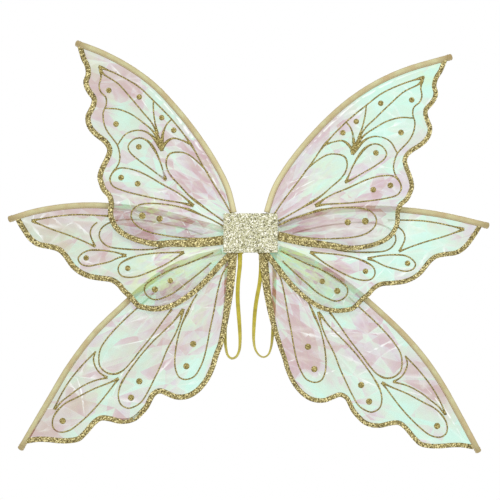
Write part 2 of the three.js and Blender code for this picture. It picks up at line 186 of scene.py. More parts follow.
VEINS = {
    "upper": [
        [(327, 292), (288, 280), (248, 262), (220, 241), (180, 208), (139, 165), (115, 131), (86, 92),
         (65, 65), (44, 35)],
        [(324, 290), (318, 280), (288, 264), (262, 241), (235, 215), (214, 194), (192, 150)],
        [(323, 286), (320, 272), (322, 256), (318, 245), (307, 235), (305, 222), (309, 207), (306, 188),
         (298, 173), (286, 160), (277, 150), (272, 139), (269, 123), (272, 110), (280, 97), (284, 84),
         (280, 75)],
        [(306, 215), (282, 216), (256, 209), (233, 196), (214, 183), (192, 157)],
        [(192, 147), (207, 167), (220, 177), (235, 181), (251, 178), (264, 170), (272, 157), (276, 149)],
        [(180, 96), (186, 110), (194, 128), (207, 149), (220, 162), (235, 167), (248, 162), (256, 149),
         (252, 139), (235, 126), (214, 114), (194, 102), (178, 94)],
        [(122, 51), (146, 68), (183, 84), (222, 101), (248, 107), (269, 106), (281, 94), (283, 82),
         (277, 72), (256, 65), (222, 60), (183, 56), (146, 54), (122, 51)],
        [(52, 22), (79, 37), (105, 52), (131, 68), (152, 86), (170, 102), (179, 115), (182, 131),
         (177, 143), (162, 148), (146, 147), (126, 136), (110, 123), (102, 115)],
        [(141, 166), (157, 171), (173, 173), (183, 167), (190, 157), (192, 147)],
        [(180, 208), (188, 198), (193, 183), (194, 168), (193, 152)],
        [(218, 239), (216, 222), (211, 200), (203, 178)],
        [(52, 14), (79, 26), (105, 35), (131, 43), (157, 47), (183, 48), (209, 46), (225, 41), (235, 31),
         (237, 21), (233, 11), (220, 0), (199, -7), (170, -10), (136, -11), (105, -9), (79, -5),
         (65, -1)],
    ],
    "middle": [
        [(258, 24), (289, 24), (319, 23), (349, 19), (377, 13), (401, 7)],
        [(401, 7), (365, -6), (334, -15), (304, -25), (279, -35)],
        [(279, -35), (286, -22), (290, -10), (287, 2), (278, 11)],
        [(79, -1), (122, 10), (167, 17), (213, 20), (243, 16), (261, 8), (270, -1), (273, -13),
         (267, -25), (255, -33), (231, -36), (197, -36), (168, -33), (140, -24)],
        [(220, -48), (243, -43), (273, -41), (292, -43), (304, -50), (310, -59), (305, -68), (292, -72),
         (273, -68), (252, -62), (234, -53), (220, -48)],
        [(112, -36), (137, -38), (167, -41), (197, -47), (219, -56), (231, -65), (234, -76), (228, -86),
         (216, -89), (197, -86), (170, -74), (143, -59), (112, -36)],
        [(57, -34), (81, -46), (111, -60), (133, -69), (154, -81), (172, -93), (181, -102), (182, -114),
         (172, -125), (160, -128), (145, -123), (127, -113), (105, -94), (81, -73), (60, -53)],
    ],
    "lower": [
        [(46, -66), (55, -81), (63, -111), (70, -151), (77, -187), (81, -211), (87, -239), (95, -260),
         (105, -275), (121, -281), (133, -277), (140, -263), (142, -245), (140, -220), (136, -199),
         (130, -178), (121, -157), (111, -135), (102, -120)],
        [(128, -148), (133, -172), (142, -196), (157, -226), (169, -257), (180, -281), (190, -302),
         (203, -324), (215, -333), (228, -337), (242, -330), (247, -315), (244, -296), (233, -275),
         (221, -257), (203, -233), (184, -211), (166, -193), (148, -175), (130, -152)],
        [(149, -149), (166, -172), (187, -202), (209, -230), (227, -254), (239, -266), (254, -273),
         (269, -271), (282, -260), (285, -245), (282, -226), (269, -205), (251, -184), (227, -160),
         (205, -140), (184, -120)],
        [(291, -231), (318, -260), (339, -287), (354, -312), (368, -342)],
        [(291, -231), (295, -245), (291, -260), (282, -272), (268, -280)],
        [(268, -280), (294, -287), (318, -299), (339, -315), (354, -327), (366, -342)],
        [(247, -281), (263, -289), (294, -302), (324, -318), (348, -331), (364, -348), (370, -363),
         (368, -377), (357, -384), (339, -381), (321, -368), (300, -348), (279, -324), (247, -281)],
    ],
}
VEIN_WIDTH = 2.8

# Where the lines run together and thicken: x, z, extra width and reach.
POOLS = {
    "upper": [
        (198, 162, 4.5, 20), (122, 51, 3.5, 16), (52, 22, 2, 12), (141, 166, 2, 10), (322, 288, 3.5, 10),
        (180, 96, 3, 9),
    ],
    "middle": [
        (258, 24, 1.5, 9), (398, 7, 2.5, 10), (112, -36, 2.5, 12), (220, -48, 2.5, 10),
        (279, -34, 1.5, 9),
    ],
    "lower": [
        (129, -150, 3.5, 14), (366, -342, 1.2, 10), (247, -281, 2.5, 10), (268, -280, 1.5, 9),
        (150, -149, 1.5, 10),
    ],
}

# Glitter dots: x, z and diameter.
DOTS = {
    "upper": [
        (303, 249, 10.5), (245, 243, 10.5), (199, 209, 10.5), (174, 188, 10.5), (283, 188, 11),
        (236, 150, 11), (263, 89, 11), (231, 81, 11), (216, 22, 13), (183, 20, 12),
    ],
    "middle": [(295, -57, 10.5), (216, -72, 10.5), (163, -109, 12), (135, -91, 10.5)],
    "lower": [(108, -214, 12), (120, -256, 12), (208, -286, 12), (223, -317, 12), (351, -363, 12)],
}

# The film's soft colour patches: x, z, radius and strength, above 0 for pink and below 0 for mint.
TINTS = {
    "right_upper": [
        (330, 285, 50, -0.9), (285, 225, 60, -1), (225, 235, 40, -0.5), (155, 222, 40, 0.9),
        (95, 125, 36, 0.3), (150, 135, 36, -0.5), (206, 150, 44, -0.9), (244, 84, 40, 0.8),
        (270, 60, 30, -0.4), (206, 24, 46, 0.6), (130, 30, 40, 0.5), (70, 60, 30, 0.6),
        (262, 2, 38, -0.9), (190, 100, 40, -0.4), (240, 265, 30, -0.3),
    ],
    "left_upper": [
        (-305, 300, 36, 1), (-296, 240, 32, 0.9), (-256, 250, 24, -1.1), (-262, 200, 30, 0.6),
        (-225, 280, 36, 0.9), (-225, 210, 26, -0.7), (-160, 262, 30, -0.6), (-200, 150, 36, -0.6),
        (-240, 105, 40, -0.8), (-190, 88, 34, 0.3), (-98, 125, 44, 1.2), (-146, 76, 34, 0.3),
        (-165, 28, 40, 0.5), (-225, 2, 44, 0.6), (-112, 24, 22, 1.1), (-138, 0, 26, -0.9),
        (-74, 34, 24, -0.3), (-130, 180, 34, -0.4),
    ],
    "right_middle": [
        (335, -12, 44, -1), (400, 14, 40, 0.3), (375, -20, 30, -0.9), (281, -38, 44, -0.8),
        (231, -63, 30, -0.6), (155, -60, 44, 0.6), (120, 16, 50, 0.1), (230, 30, 50, 0.2),
        (182, -113, 36, -0.7), (85, -46, 30, -0.8), (120, -100, 30, 0.3), (290, 10, 30, -0.6),
    ],
    "left_middle": [
        (-396, 12, 30, -0.6), (-375, 22, 26, 0.9), (-334, 26, 34, 1), (-359, -10, 30, -0.9),
        (-300, -10, 36, 0.4), (-283, -45, 26, 0.8), (-246, -63, 36, -0.8), (-176, -46, 34, 0.7),
        (-150, -72, 30, -0.6), (-110, -40, 36, -0.5), (-221, -101, 34, -0.8), (-146, -100, 30, 0.8),
        (-200, 20, 60, 0.3), (-100, 12, 40, 0.1), (-270, 10, 30, -0.4),
    ],
    "right_lower": [
        (68, -139, 36, 1), (106, -201, 40, 1.2), (80, -252, 30, 0.6), (131, -300, 34, -0.8),
        (175, -150, 34, -0.6), (235, -165, 36, 0.4), (206, -226, 36, 0.7), (155, -252, 32, -0.4),
        (235, -300, 44, -1), (281, -246, 36, 0.5), (290, -200, 30, -0.5), (332, -305, 34, 0.8),
        (290, -350, 44, -1), (380, -377, 40, -0.8), (210, -345, 30, 0.6), (350, -390, 24, 0.6),
    ],
    "left_lower": [
        (-95, -150, 40, -0.5), (-70, -100, 30, 0.4), (-157, -166, 34, 1), (-225, -215, 36, -0.5),
        (-205, -180, 24, 0.8), (-259, -151, 34, 0.7), (-283, -226, 34, -0.8), (-208, -264, 40, -1),
        (-108, -252, 34, -0.8), (-146, -226, 30, 0.6), (-324, -300, 36, 1.1), (-350, -352, 40, 0.4),
        (-290, -330, 36, -0.7), (-232, -339, 36, 0.4), (-130, -300, 30, -0.7), (-380, -385, 30, 0.5),
        (-180, -120, 30, -0.4),
    ],
}

# Painted yellow-green sheen on the film: x, z, radius and strength.
PAINTED_SHEENS = {
    "right_upper": [(345, 305, 30, 0.6), (150, 232, 26, 0.5), (120, 110, 30, 0.4), (150, 50, 30, 0.5)],
    "left_upper": [
        (-150, 262, 30, 0.6), (-290, 318, 18, 0.8), (-60, 100, 26, 0.5), (-172, 34, 24, 0.8),
        (-72, 36, 26, 0.3), (-180, 58, 34, 0.6), (-255, 255, 18, 0.4),
    ],
    "right_middle": [(70, -40, 26, 1), (110, -60, 40, 0.7), (130, -100, 34, 0.6), (330, 34, 40, 0.4)],
    "left_middle": [
        (-108, -38, 44, 1), (-170, -62, 50, 0.8), (-221, -105, 34, 0.7), (-140, -70, 40, 0.6),
        (-350, -30, 30, 0.4),
    ],
    "right_lower": [(60, -60, 40, 0.7), (150, -90, 30, 0.4), (380, -330, 26, 0.4)],
    "left_lower": [
        (-70, -60, 36, 0.8), (-110, -170, 30, 0.5), (-190, -110, 40, 0.6), (-330, -250, 34, 0.5),
        (-300, -300, 26, 0.4),
    ],
}

# Painted shade, where the film is darker and warmer, and painted light, where it is paler with a negative
# strength: x, z, radius and strength.
PAINTED_SHADE_AND_LIGHT = {
    "right_upper": [(200, 12, 44, -0.4), (130, 14, 44, -0.45), (262, 4, 40, -0.6), (85, 2, 30, 0.4)],
    "left_upper": [
        (-180, 220, 60, 0.2), (-250, 250, 60, 0.2), (-272, 190, 50, 0.15), (-180, 150, 60, 0.15),
        (-270, 70, 60, 0.35), (-230, 20, 40, 0.2), (-165, 30, 44, -0.35), (-285, 310, 40, 0.5),
        (-112, 24, 24, 0.35), (-78, 14, 26, -0.6),
    ],
    "right_middle": [(200, 10, 50, -0.4), (270, 0, 40, -0.3), (130, 0, 50, -0.4)],
    "left_middle": [
        (-408, 4, 44, 0.8), (-362, -20, 40, 0.45), (-317, -30, 60, 0.2), (-272, 0, 50, 0.3),
        (-272, -89, 50, 0.4), (-215, -80, 50, 0.3), (-317, 40, 50, 0.3), (-175, 6, 44, -0.4),
        (-120, -60, 50, -0.4),
    ],
    "right_lower": [
        (130, -85, 50, -0.35), (135, -224, 50, 0.4), (330, -290, 60, 0.35), (50, -170, 40, 0.3),
    ],
    "left_lower": [
        (-130, -85, 50, -0.4), (-362, -340, 50, 0.4), (-317, -269, 60, 0.3), (-405, -402, 40, 0.5),
        (-227, -290, 80, 0.15), (-180, -190, 70, 0.35), (-100, -140, 50, 0.35), (-317, -210, 40, 0.2),
    ],
}

# The arm loops' middle lines, as in the CAD model.
STRAP_ROUTES = {
    "right": [
        (20, -2.2, -44), (20, -2.2, -60), (19, -2.2, -78), (16.5, -1, -98), (12.5, 0.5, -119),
        (9, 1.6, -142), (7, 2, -165), (6, 2, -185), (6, 2, -203), (9, 2, -219), (16, 2, -230),
        (25, 2, -234), (33.5, 2, -229), (38.5, 2, -216), (41, 2, -198), (42.5, 1.6, -176),
        (43.5, 1, -150), (44.3, 0.3, -120), (45, -1, -90), (45, -2, -64), (45, -2.2, -44),
    ],
    "left": [
        (-20, -2.2, -44), (-20, -2.2, -60), (-22, -2.2, -80), (-23.8, -1, -101), (-24.2, 0.5, -122),
        (-23, 1.6, -145), (-21.2, 2, -168), (-20, 2, -188), (-19.8, 2, -206), (-21.5, 2, -222),
        (-27, 2, -233), (-35, 2, -236.5), (-42.5, 2, -231), (-46.5, 2, -216), (-48, 2, -196),
        (-48, 1.6, -174), (-47.3, 1, -148), (-46.2, 0.3, -118), (-45.4, -1, -90), (-45, -2, -64),
        (-45, -2.2, -44),
    ],
}
STRAP_WIDTH = 8.0
STRAP_THICK = 1.3
STRAP_TWIST = {"left": 48, "right": 58}
STRAP_WAVER = 12


# ---- lines ---------------------------------------------------------------------------------------
def even(line, step):
    """The same line with a point about every step."""
    along = np.concatenate([[0], np.cumsum(np.linalg.norm(np.diff(line, axis=0), axis=1))])
    at = np.linspace(0, along[-1], max(2, round(along[-1] / step) + 1))
    return np.stack([np.interp(at, along, line[:, k]) for k in range(line.shape[1])], axis=1)


def spline(points, step):
    """A centripetal Catmull-Rom curve through the points."""
    p = np.array(points, float)
    p = np.vstack([2 * p[0] - p[1], p, 2 * p[-1] - p[-2]])
    out = []
    for a, b, c, d in zip(p[:-3], p[1:-2], p[2:-1], p[3:]):
        knots = np.cumsum([0.0] + [math.sqrt(max(np.linalg.norm(v), 1e-6)) for v in (b - a, c - b, d - c)])
        t = np.linspace(knots[1], knots[2], 16, endpoint=False)[:, None]

        def mix(u, v, i, j):
            return (u * (knots[j] - t) + v * (t - knots[i])) / (knots[j] - knots[i])

        ab, bc, cd = mix(a, b, 0, 1), mix(b, c, 1, 2), mix(c, d, 2, 3)
        out.append(mix(mix(ab, bc, 0, 2), mix(bc, cd, 1, 3), 1, 2))
    out.append(p[-2][None])
    return even(np.vstack(out), step)


def directions(line, reach=1):
    n = len(line)
    ahead = line[np.minimum(np.arange(n) + reach, n - 1)] - line[np.maximum(np.arange(n) - reach, 0)]
    return ahead / np.maximum(np.linalg.norm(ahead, axis=1), 1e-9)[:, None]


def left_of(line, reach=1):
    """The way to the left of a flat line at each of its points."""
    along = directions(line, reach)
    return np.stack([-along[:, 1], along[:, 0]], axis=1)


def smooth(x, low, high):
    """0 below low, 1 above high, and an S curve between."""
    t = np.clip((np.asarray(x, float) - low) / (high - low), 0, 1)
    return t * t * (3 - 2 * t)


def distance_to(points, line):
    """How far each flat point is from a flat line."""
    best = np.full(len(points), np.inf)
    for a, b in zip(line[:-1], line[1:]):
        d = b - a
        t = np.clip(((points - a) @ d) / max(d @ d, 1e-9), 0, 1)
        best = np.minimum(best, np.linalg.norm(points - a - t[:, None] * d, axis=1))
    return best


def inside(points, polygon):
    """Which flat points lie inside a polygon."""
    found = np.zeros(len(points), bool)
    for (x0, z0), (x1, z1) in zip(polygon, np.roll(polygon, -1, axis=0)):
        crosses = (z0 > points[:, 1]) != (z1 > points[:, 1])
        rise = z1 - z0 if z1 != z0 else 1e-9
        found ^= crosses & (points[:, 0] < (x1 - x0) * (points[:, 1] - z0) / rise + x0)
    return found


# ---- meshes --------------------------------------------------------------------------------------
def make_object(name, points, faces, look, soft_shading=True):
    """A mesh object from points in millimetres, which it keeps as its rest place for the materials."""
    points = np.asarray(points, float)
    mesh = bpy.data.meshes.new(name)
    mesh.from_pydata([tuple(p) for p in points * MM], [], [tuple(f) for f in faces])
    mesh.materials.append(look)
    mesh.polygons.foreach_set("use_smooth", [soft_shading] * len(mesh.polygons))
    mesh.attributes.new("rest", "FLOAT_VECTOR", "POINT").data.foreach_set("vector", points.ravel())
    mesh.update()
    made = bpy.data.objects.new(name, mesh)
    bpy.context.scene.collection.objects.link(made)
    return made


def mark(piece, name, values, domain="POINT"):
    """Gives each point or face of a piece a number that its material reads."""
    attribute = piece.data.attributes.new(name, "FLOAT", domain)
    attribute.data.foreach_set("value", np.asarray(values, np.float32))


def tube_faces(rings, sides):
    """Faces of a closed tube of rings, with flat ends."""
    faces = []
    for i in range(rings - 1):
        for j in range(sides):
            k = (j + 1) % sides
            faces.append((i * sides + j, i * sides + k, (i + 1) * sides + k, (i + 1) * sides + j))
    faces.append(tuple(reversed(range(sides))))
    faces.append(tuple(range((rings - 1) * sides, rings * sides)))
    return faces


class Solid:
    """Points and faces gathered from several closed shapes."""

    def __init__(self):
        self.points = []
        self.faces = []

    def add(self, points, faces):
        start = len(self.points)
        self.points.extend(np.asarray(points, float).tolist())
        self.faces.extend(tuple(start + i for i in face) for face in faces)


# ---- one wing's film -------------------------------------------------------------------------------
class Wing:
    """A wing's flat pattern, its creased film, and its place in the row frame."""

    def __init__(self, side_name, layer):
        self.side, self.side_name, self.layer = SIDES[side_name], side_name, layer
        self.name = f"{side_name}_{layer}"
        self.body = f"{self.name}_wing"
        self.random = random.Random(f"film {self.name}")
        self.lead = spline(LEADS[self.name], 4)
        self.trail = self.trailing_edge()
        self.outline = self.film_outline()
        self.crumple()

    def from_pattern(self, flat):
        """The right-hand pattern as it lies on this wing."""
        flat = np.array(flat, float)
        if self.side > 0:
            return flat
        turn, shift = LEFT_FILM[self.layer]
        c, s = math.cos(math.radians(turn)), math.sin(math.radians(turn))
        x, z = -flat[:, 0], flat[:, 1]
        return np.stack([x * c - z * s + shift[0], x * s + z * c + shift[1]], axis=1)

    def place(self, flat, lift):
        """Flat points, raised towards the front by lift, as they stand on the leaning wing."""
        flat = np.asarray(flat, float)
        x, z = np.abs(flat[:, 0]), flat[:, 1]
        lean = SPLAY[self.layer] * smooth(x, BEND_FROM, BEND_TO)
        dx = x - FOLD_X
        dy = LAYER_Y[self.layer] - FOLD_Y - np.asarray(lift, float)
        out_x = FOLD_X + dx * np.cos(lean) + dy * np.sin(lean)
        out_y = FOLD_Y - dx * np.sin(lean) + dy * np.cos(lean)
        return np.stack([self.side * out_x, out_y, z], axis=1)

    def trailing_edge(self):
        """The scalloped edge, from under the casing's tip to the hub."""
        line = self.from_pattern(TRAILS[self.layer])
        if self.name == "left_lower":
            line[-len(LEFT_LOWER_END):] = LEFT_LOWER_END
        tuck = (line[0] - line[1]) / np.linalg.norm(line[0] - line[1]) * TIP_TUCK
        return spline(np.vstack([line[0] + tuck, line]), EDGE_STEP)

    def film_outline(self):
        """The film's edge: inside the casing on one side, and the trailing edge on the other."""
        start = int(np.argmax(np.abs(self.lead[:, 0]) > FILM_START_X))
        tucked = self.lead[start:] - self.side * left_of(self.lead, 3)[start:] * FILM_TUCK
        tip = self.trail[0]
        before_tip = np.abs(tucked[:, 0]) < abs(tip[0]) + 2
        return np.vstack([tucked[before_tip], self.trail])

    def crumple(self):
        """Long crease triangles that spread out from the hub, as a surface to read heights from."""
        points, warped, heights = [], [], []
        first_turn, last_turn = (math.radians(turn) for turn in CREASE_TURNS)
        radius = CREASES_FROM
        while radius < CREASES_TO:
            gap = 12 + radius * 0.09
            step = (9 + 0.045 * radius) / radius
            angle = first_turn + self.random.uniform(0, step)
            while angle < last_turn:
                r = radius + self.random.uniform(-CREASE_JITTER, CREASE_JITTER) * gap
                a = angle + self.random.uniform(-CREASE_JITTER, CREASE_JITTER) * step
                points.append((self.side * r * math.cos(a), r * math.sin(a)))
                warped.append((r * CREASE_SQUEEZE, a * (90 + 0.4 * radius)))
                heights.append(self.random.uniform(-1, 1))
                angle += step
            radius += gap
        # The creases are shallow near the hub and beside the casing, and deepest further out.
        flat = np.array(points)
        room = smooth(np.abs(flat[:, 0]), 60, 170)
        outer = {"upper": smooth(flat[:, 1], 60, 120), "middle": 0 * room,
                 "lower": smooth(-flat[:, 1], 130, 200)}[self.layer]
        near_casing = smooth(distance_to(flat, self.lead), 5, 30)
        height = np.array(heights) * (0.1 + 1.25 * np.maximum(room, 0.8 * outer) * near_casing)
        squeezed = [Vector(p) for p in warped]
        _, edges, faces, kept, _, _ = geometry.delaunay_2d_cdt(squeezed, [], [], 0, 1e-6)
        where = [k[0] for k in kept]
        self.creases = [(flat[where[a]], flat[where[b]]) for a, b in edges]
        corners = [Vector((flat[i, 0], -height[i], flat[i, 1])) for i in where]
        self.tree = BVHTree.FromPolygons(corners, [tuple(f) for f in faces])
        self.facet_tones = [self.random.uniform(-1, 1) for _ in faces]

    def read(self, flat):
        """The film's height towards the front, and its facet's tone, at each flat point."""
        heights, tones = [], []
        for x, z in flat:
            hit, _, index, _ = self.tree.ray_cast(Vector((x, -50, z)), Vector((0, 1, 0)))
            heights.append(-hit.y if hit else 0.0)
            tones.append(self.facet_tones[index] if hit else 0.0)
        return np.array(heights), np.array(tones)

    def height(self, flat):
        return self.read(flat)[0]

    def in_hub(self, flat, room=HUB_ROOM):
        """Whether flat points lie between the plates."""
        return (np.abs(flat[:, 0]) < PLATE.x / 2 + room) & (np.abs(flat[:, 1]) < PLATE.z / 2 + room)

    def glints(self, low, high):
        """Narrow painted highlights along folds: some of the creases, and the wing's own long streaks."""
        for a, b in self.creases:
            middle, length = (a + b) / 2, np.linalg.norm(b - a)
            if (middle < low).any() or (middle > high).any() or abs(middle[0]) < GLINT_FROM:
                continue
            if self.random.random() < GLINT_SHARE:
                line = np.array([a, middle, b])
                width = self.random.uniform(*GLINT_WIDTHS) * min(1, length / 25)
                yield line, width, self.random.uniform(*GLINT_SHINES)
        for points, width in PAINTED_HIGHLIGHT_STREAKS.get(self.name, []):
            yield spline(points, 12), width, 1.0

    def film(self):
        """The film as flat triangles: points, faces, each point's painted highlight and each face's
        middle.
        """
        outline = self.outline
        low, high = outline.min(0), outline.max(0)
        points = [tuple(p) for p in outline]
        edges = [(i, (i + 1) % len(outline)) for i in range(len(outline))]
        painted_glint = [0.0] * len(points)

        def chain(line, shines, closed=False):
            first = len(points)
            points.extend(tuple(p) for p in line)
            painted_glint.extend(shines)
            edges.extend((i, i + 1) for i in range(first, len(points) - 1))
            if closed:
                edges.append((len(points) - 1, first))

        for a, b in self.creases:
            if ((a + b) / 2 > low - 20).all() and ((a + b) / 2 < high + 20).all():
                chain([a, b], [0.0, 0.0])
        # Each glint is a narrow painted highlight, brightest along its middle.
        for line, width, strength in self.glints(low, high):
            taper = width / 2 * np.sin(np.linspace(0, math.pi, len(line)))[:, None]
            ends = [0.0] * len(line)
            chain(line, strength * np.sin(np.linspace(0.25, math.pi - 0.25, len(line))))
            chain((line + left_of(line) * taper)[1:-1], ends[1:-1])
            chain((line - left_of(line) * taper)[1:-1], ends[1:-1])
        half_x, half_z = PLATE.x / 2 + HUB_ROOM, PLATE.z / 2 + HUB_ROOM
        plate_edge = [(-half_x, -half_z), (half_x, -half_z), (half_x, half_z), (-half_x, half_z)]
        chain(plate_edge, [0.0] * len(plate_edge), closed=True)
        across, upward = np.arange(low[0], high[0], FILM_STEP), np.arange(low[1], high[1], FILM_STEP)
        grid = [(x, z) for x in across for z in upward]
        grid += [(self.side * x, z) for x in np.arange(BEND_FROM - 2, BEND_TO + 3, 2)
                 for z in np.arange(low[1], high[1], 5)]
        grid = np.array(grid)
        grid = grid[inside(grid, outline) & ~self.in_hub(grid)]
        points.extend(tuple(p) for p in grid)
        painted_glint.extend([0.0] * len(grid))

        corners = [Vector(p) for p in points]
        out, _, faces, kept, _, _ = geometry.delaunay_2d_cdt(corners, edges, [], 0, 0.02)
        flat = np.array([tuple(p) for p in out])
        centres = np.array([flat[list(f)].mean(0) for f in faces])
        keep = inside(centres, outline) & ~self.in_hub(centres)
        faces = [tuple(f) for f, k in zip(faces, keep) if k]
        used = sorted({i for f in faces for i in f})
        index = {old: new for new, old in enumerate(used)}
        bright = np.array([max((painted_glint[k] for k in kept[i]), default=0.0) for i in used])
        return flat[used], [tuple(index[i] for i in f) for f in faces], bright, centres[keep]

    def patches(self, flat, places):
        """Soft colour patches, each drawn out along the way from the hub."""
        total = np.zeros(len(flat))
        for x, z, radius, amount in places[self.name]:
            middle = np.array([x, z], float)
            outwards = middle / np.linalg.norm(middle)
            away = flat - middle
            along = away @ outwards / PATCH_LONG
            aside = (away @ np.array([-outwards[1], outwards[0]])) / PATCH_NARROW
            total += amount * np.exp(-(along ** 2 + aside ** 2) / radius ** 2)
        return np.clip(total, -PATCH_LIMIT, PATCH_LIMIT)

    def fan(self, flat):
        """Places told by how far out and which way from the hub, so that a grain can run outwards."""
        reach, turn = np.linalg.norm(flat, axis=1), np.arctan2(flat[:, 1], np.abs(flat[:, 0]))
        own = 300 * LAYERS.index(self.layer) + 1000 * self.side
        return np.stack([reach * FAN_SQUEEZE, turn * FAN_SPREAD, np.full(len(flat), float(own))], axis=1)

    def blend(self, piece):
        """Bakes the piece's place into its points."""
        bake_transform(piece)


# ---- materials -----------------------------------------------------------------------------------
class Finish:
    """A procedural material: one Principled shader and the nodes that feed it, in millimetres."""

    def __init__(self, name, carried_over=False, **sockets):
        self.material = bpy.data.materials.new(name)
        self.material.use_nodes = True
        self.tree = self.material.node_tree
        self.shader = self.tree.nodes["Principled BSDF"]
        for socket, value in sockets.items():
            self.shader.inputs[socket.replace("_", " ")].default_value = value
        if carried_over:
            place = self.node("TexCoord", output="Object")
            self.place = self.node("VectorMath", place, operation="SCALE", output=0)
            self.place.node.inputs["Scale"].default_value = 1 / MM
        else:
            self.place = self.attribute("rest", output="Vector")

    def node(self, kind, *values, output=0, **settings):
        made = self.tree.nodes.new("ShaderNode" + kind)
        for key, value in settings.items():
            setattr(made, key, value)
        for socket, value in zip(made.inputs, values):
            self.feed(socket, value)
        return made.outputs[output]

    def feed(self, socket, value):
        if isinstance(value, bpy.types.NodeSocket):
            self.tree.links.new(value, socket)
        elif value is not None:
            socket.default_value = value

    def shade(self, **sockets):
        for socket, value in sockets.items():
            self.feed(self.shader.inputs[socket.replace("_", " ")], value)
        return self

    def attribute(self, name, output="Fac"):
        return self.node("Attribute", attribute_name=name, output=output)

    def math(self, operation, a, b=0.0, c=None, clamp=False):
        return self.node("Math", a, b, c, operation=operation, use_clamp=clamp)

    def weigh(self, *parts):
        """The sum of the parts, each times its own weight."""
        total = None
        for value, weight in parts:
            part = value if weight == 1 else self.math("MULTIPLY", value, weight)
            total = part if total is None else self.math("ADD", total, part)
        return total

    def waves(self, value, pitch):
        return self.math("SINE", self.math("MULTIPLY", value, 2 * math.pi / pitch))

    def noise(self, size, detail=2.0, place=None, output=0):
        return self.node("TexNoise", place or self.place, None, 1 / size, detail, output=output)

    def cells(self, size, output="Distance", place=None):
        return self.node("TexVoronoi", place or self.place, None, 1 / size, output=output)

    def ramp(self, value, *stops, interpolation="LINEAR"):
        made = self.node("ValToRGB", value).node
        made.color_ramp.interpolation = interpolation
        while len(made.color_ramp.elements) < len(stops):
            made.color_ramp.elements.new(0.5)
        for element, (at, colour) in zip(made.color_ramp.elements, stops):
            element.position, element.color = at, (*colour, 1)
        return made.outputs[0]

    def mix(self, share, a, b):
        made = self.node("Mix", share, data_type="RGBA", output=2).node
        self.feed(made.inputs[6], a)
        self.feed(made.inputs[7], b)
        return made.outputs[2]

    def over(self, base, share, colour):
        """A plain colour laid over the base by a share."""
        return self.mix(share, base, (*colour, 1))

    def stretched(self, x, y, z):
        """The place, scaled unevenly, for a grain that is longer one way."""
        return self.node("VectorMath", self.place, (x, y, z), operation="MULTIPLY")

    def bump(self, height, deep, strength=1.0, onto=None):
        made = self.node("Bump", strength, deep * MM).node
        self.feed(made.inputs["Height"], height)
        if onto is not None:
            self.feed(made.inputs["Normal"], onto)
        return made.outputs[0]


def linear(red, green, blue):
    """An sRGB colour of 0 to 255 as Blender's linear colour."""
    shares = (red / 255, green / 255, blue / 255)
    return tuple(((c + 0.055) / 1.055) ** 2.4 if c > 0.04045 else c / 12.92 for c in shares)


def glitter(name, dark, middle, bright, grain, roughness, metallic):
    """Packed flakes: each cell has its own tone and its own tilt. The tones are partly painted sparkle and
    shade, bright and dark flakes standing in for light caught and missed.
    """
    look = Finish(name, Roughness=roughness, Metallic=metallic)
    # Bright flakes are painted sparkle and dark flakes painted shade, over an uneven tone.
    flake = look.node("SeparateColor", look.cells(grain, "Color"))
    patch = look.noise(grain * 2.4, 1.0)
    tone = look.weigh((flake, 0.8), (patch, 0.5))
    colour = look.ramp(tone, (0.3, dark), (0.5, middle), (0.78, middle), (0.98, bright))
    edges = look.cells(grain, "Distance")
    tilt = look.weigh((flake, 0.8), (edges, 1))
    return look.shade(Base_Color=colour, Normal=look.bump(tilt, 0.5 * grain, 0.55)).material


def make_film():
    """Clear film with patches, facets and folds in colours from pink to mint, under painted light and
    shade: a yellow-green sheen, darker and paler patches and highlights along the folds.
    """
    look = Finish("film_pink_to_mint", Roughness=0.2, Alpha=0.6, IOR=1.45)
    tint, facet, painted_glint, painted_sheen, shade = (
        look.attribute(name) for name in ("tint", "facet", "painted_glint", "painted_sheen", "shade"))
    fan = look.attribute("fan", output="Vector")
    value = look.math("MULTIPLY_ADD", tint, 0.3, 0.5)
    folds = look.node("SeparateColor", look.cells(15, "Color", place=fan))
    parts = ((facet, 0.2, 0.0), (folds, 0.4, 0.5), (look.noise(16, 3.0, fan), 0.5, 0.5),
             (look.noise(4, 2.0, fan), 0.12, 0.5))
    for part, amount, middle in parts:
        centred = look.math("SUBTRACT", part, middle)
        value = look.math("ADD", value, look.math("MULTIPLY", centred, amount))
    colour = look.ramp(value, (0.08, FILM_MINT), (0.36, FILM_PALE_MINT), (0.5, FILM_PALE),
                       (0.6, FILM_LILAC), (0.72, FILM_PALE_PINK), (0.9, FILM_PINK))
    # Painted yellow-green sheen, laid on in uneven patches.
    patchy = look.node("MapRange", look.noise(6, 3.0, fan), 0.4, 0.62, 0.05, 0.75)
    painted_sheen_share = look.math("MULTIPLY", look.math("ADD", painted_sheen, 0.22), patchy, clamp=True)
    colour = look.over(colour, painted_sheen_share, FILM_PAINTED_SHEEN)
    # Painted shade where the shade mark is above 0, and painted light where it is below 0.
    uneven = look.node("MapRange", look.noise(9, 3.0, fan), 0.35, 0.65, 0.45, 1.0)
    dark = look.math("MULTIPLY", shade, uneven, clamp=True)
    painted_light_share = look.math("MULTIPLY", look.math("MULTIPLY", shade, -1), uneven, clamp=True)
    colour = look.over(colour, dark, FILM_PAINTED_SHADE)
    colour = look.over(colour, painted_light_share, FILM_PAINTED_LIGHT)
    # Painted highlights along the folds.
    colour = look.over(colour, painted_glint, FILM_PAINTED_GLINT)
    fine = look.noise(5, 3.0)
    return look.shade(Base_Color=colour, Normal=look.bump(fine, 0.5, 0.2)).material


WEAVE_PITCH, SEAM_PITCH, SEAM_AT = 0.9, 3.2, 4
ORGANZA = linear(186, 177, 132)
ORGANZA_TAN = linear(182, 162, 118)
ORGANZA_GREEN = linear(194, 191, 146)
ORGANZA_PAINTED_LIGHT = linear(212, 204, 158)
ORGANZA_TIP = linear(146, 124, 76)
ORGANZA_PAINTED_SHADE = linear(160, 142, 100)
ORGANZA_THREAD = linear(206, 198, 162)


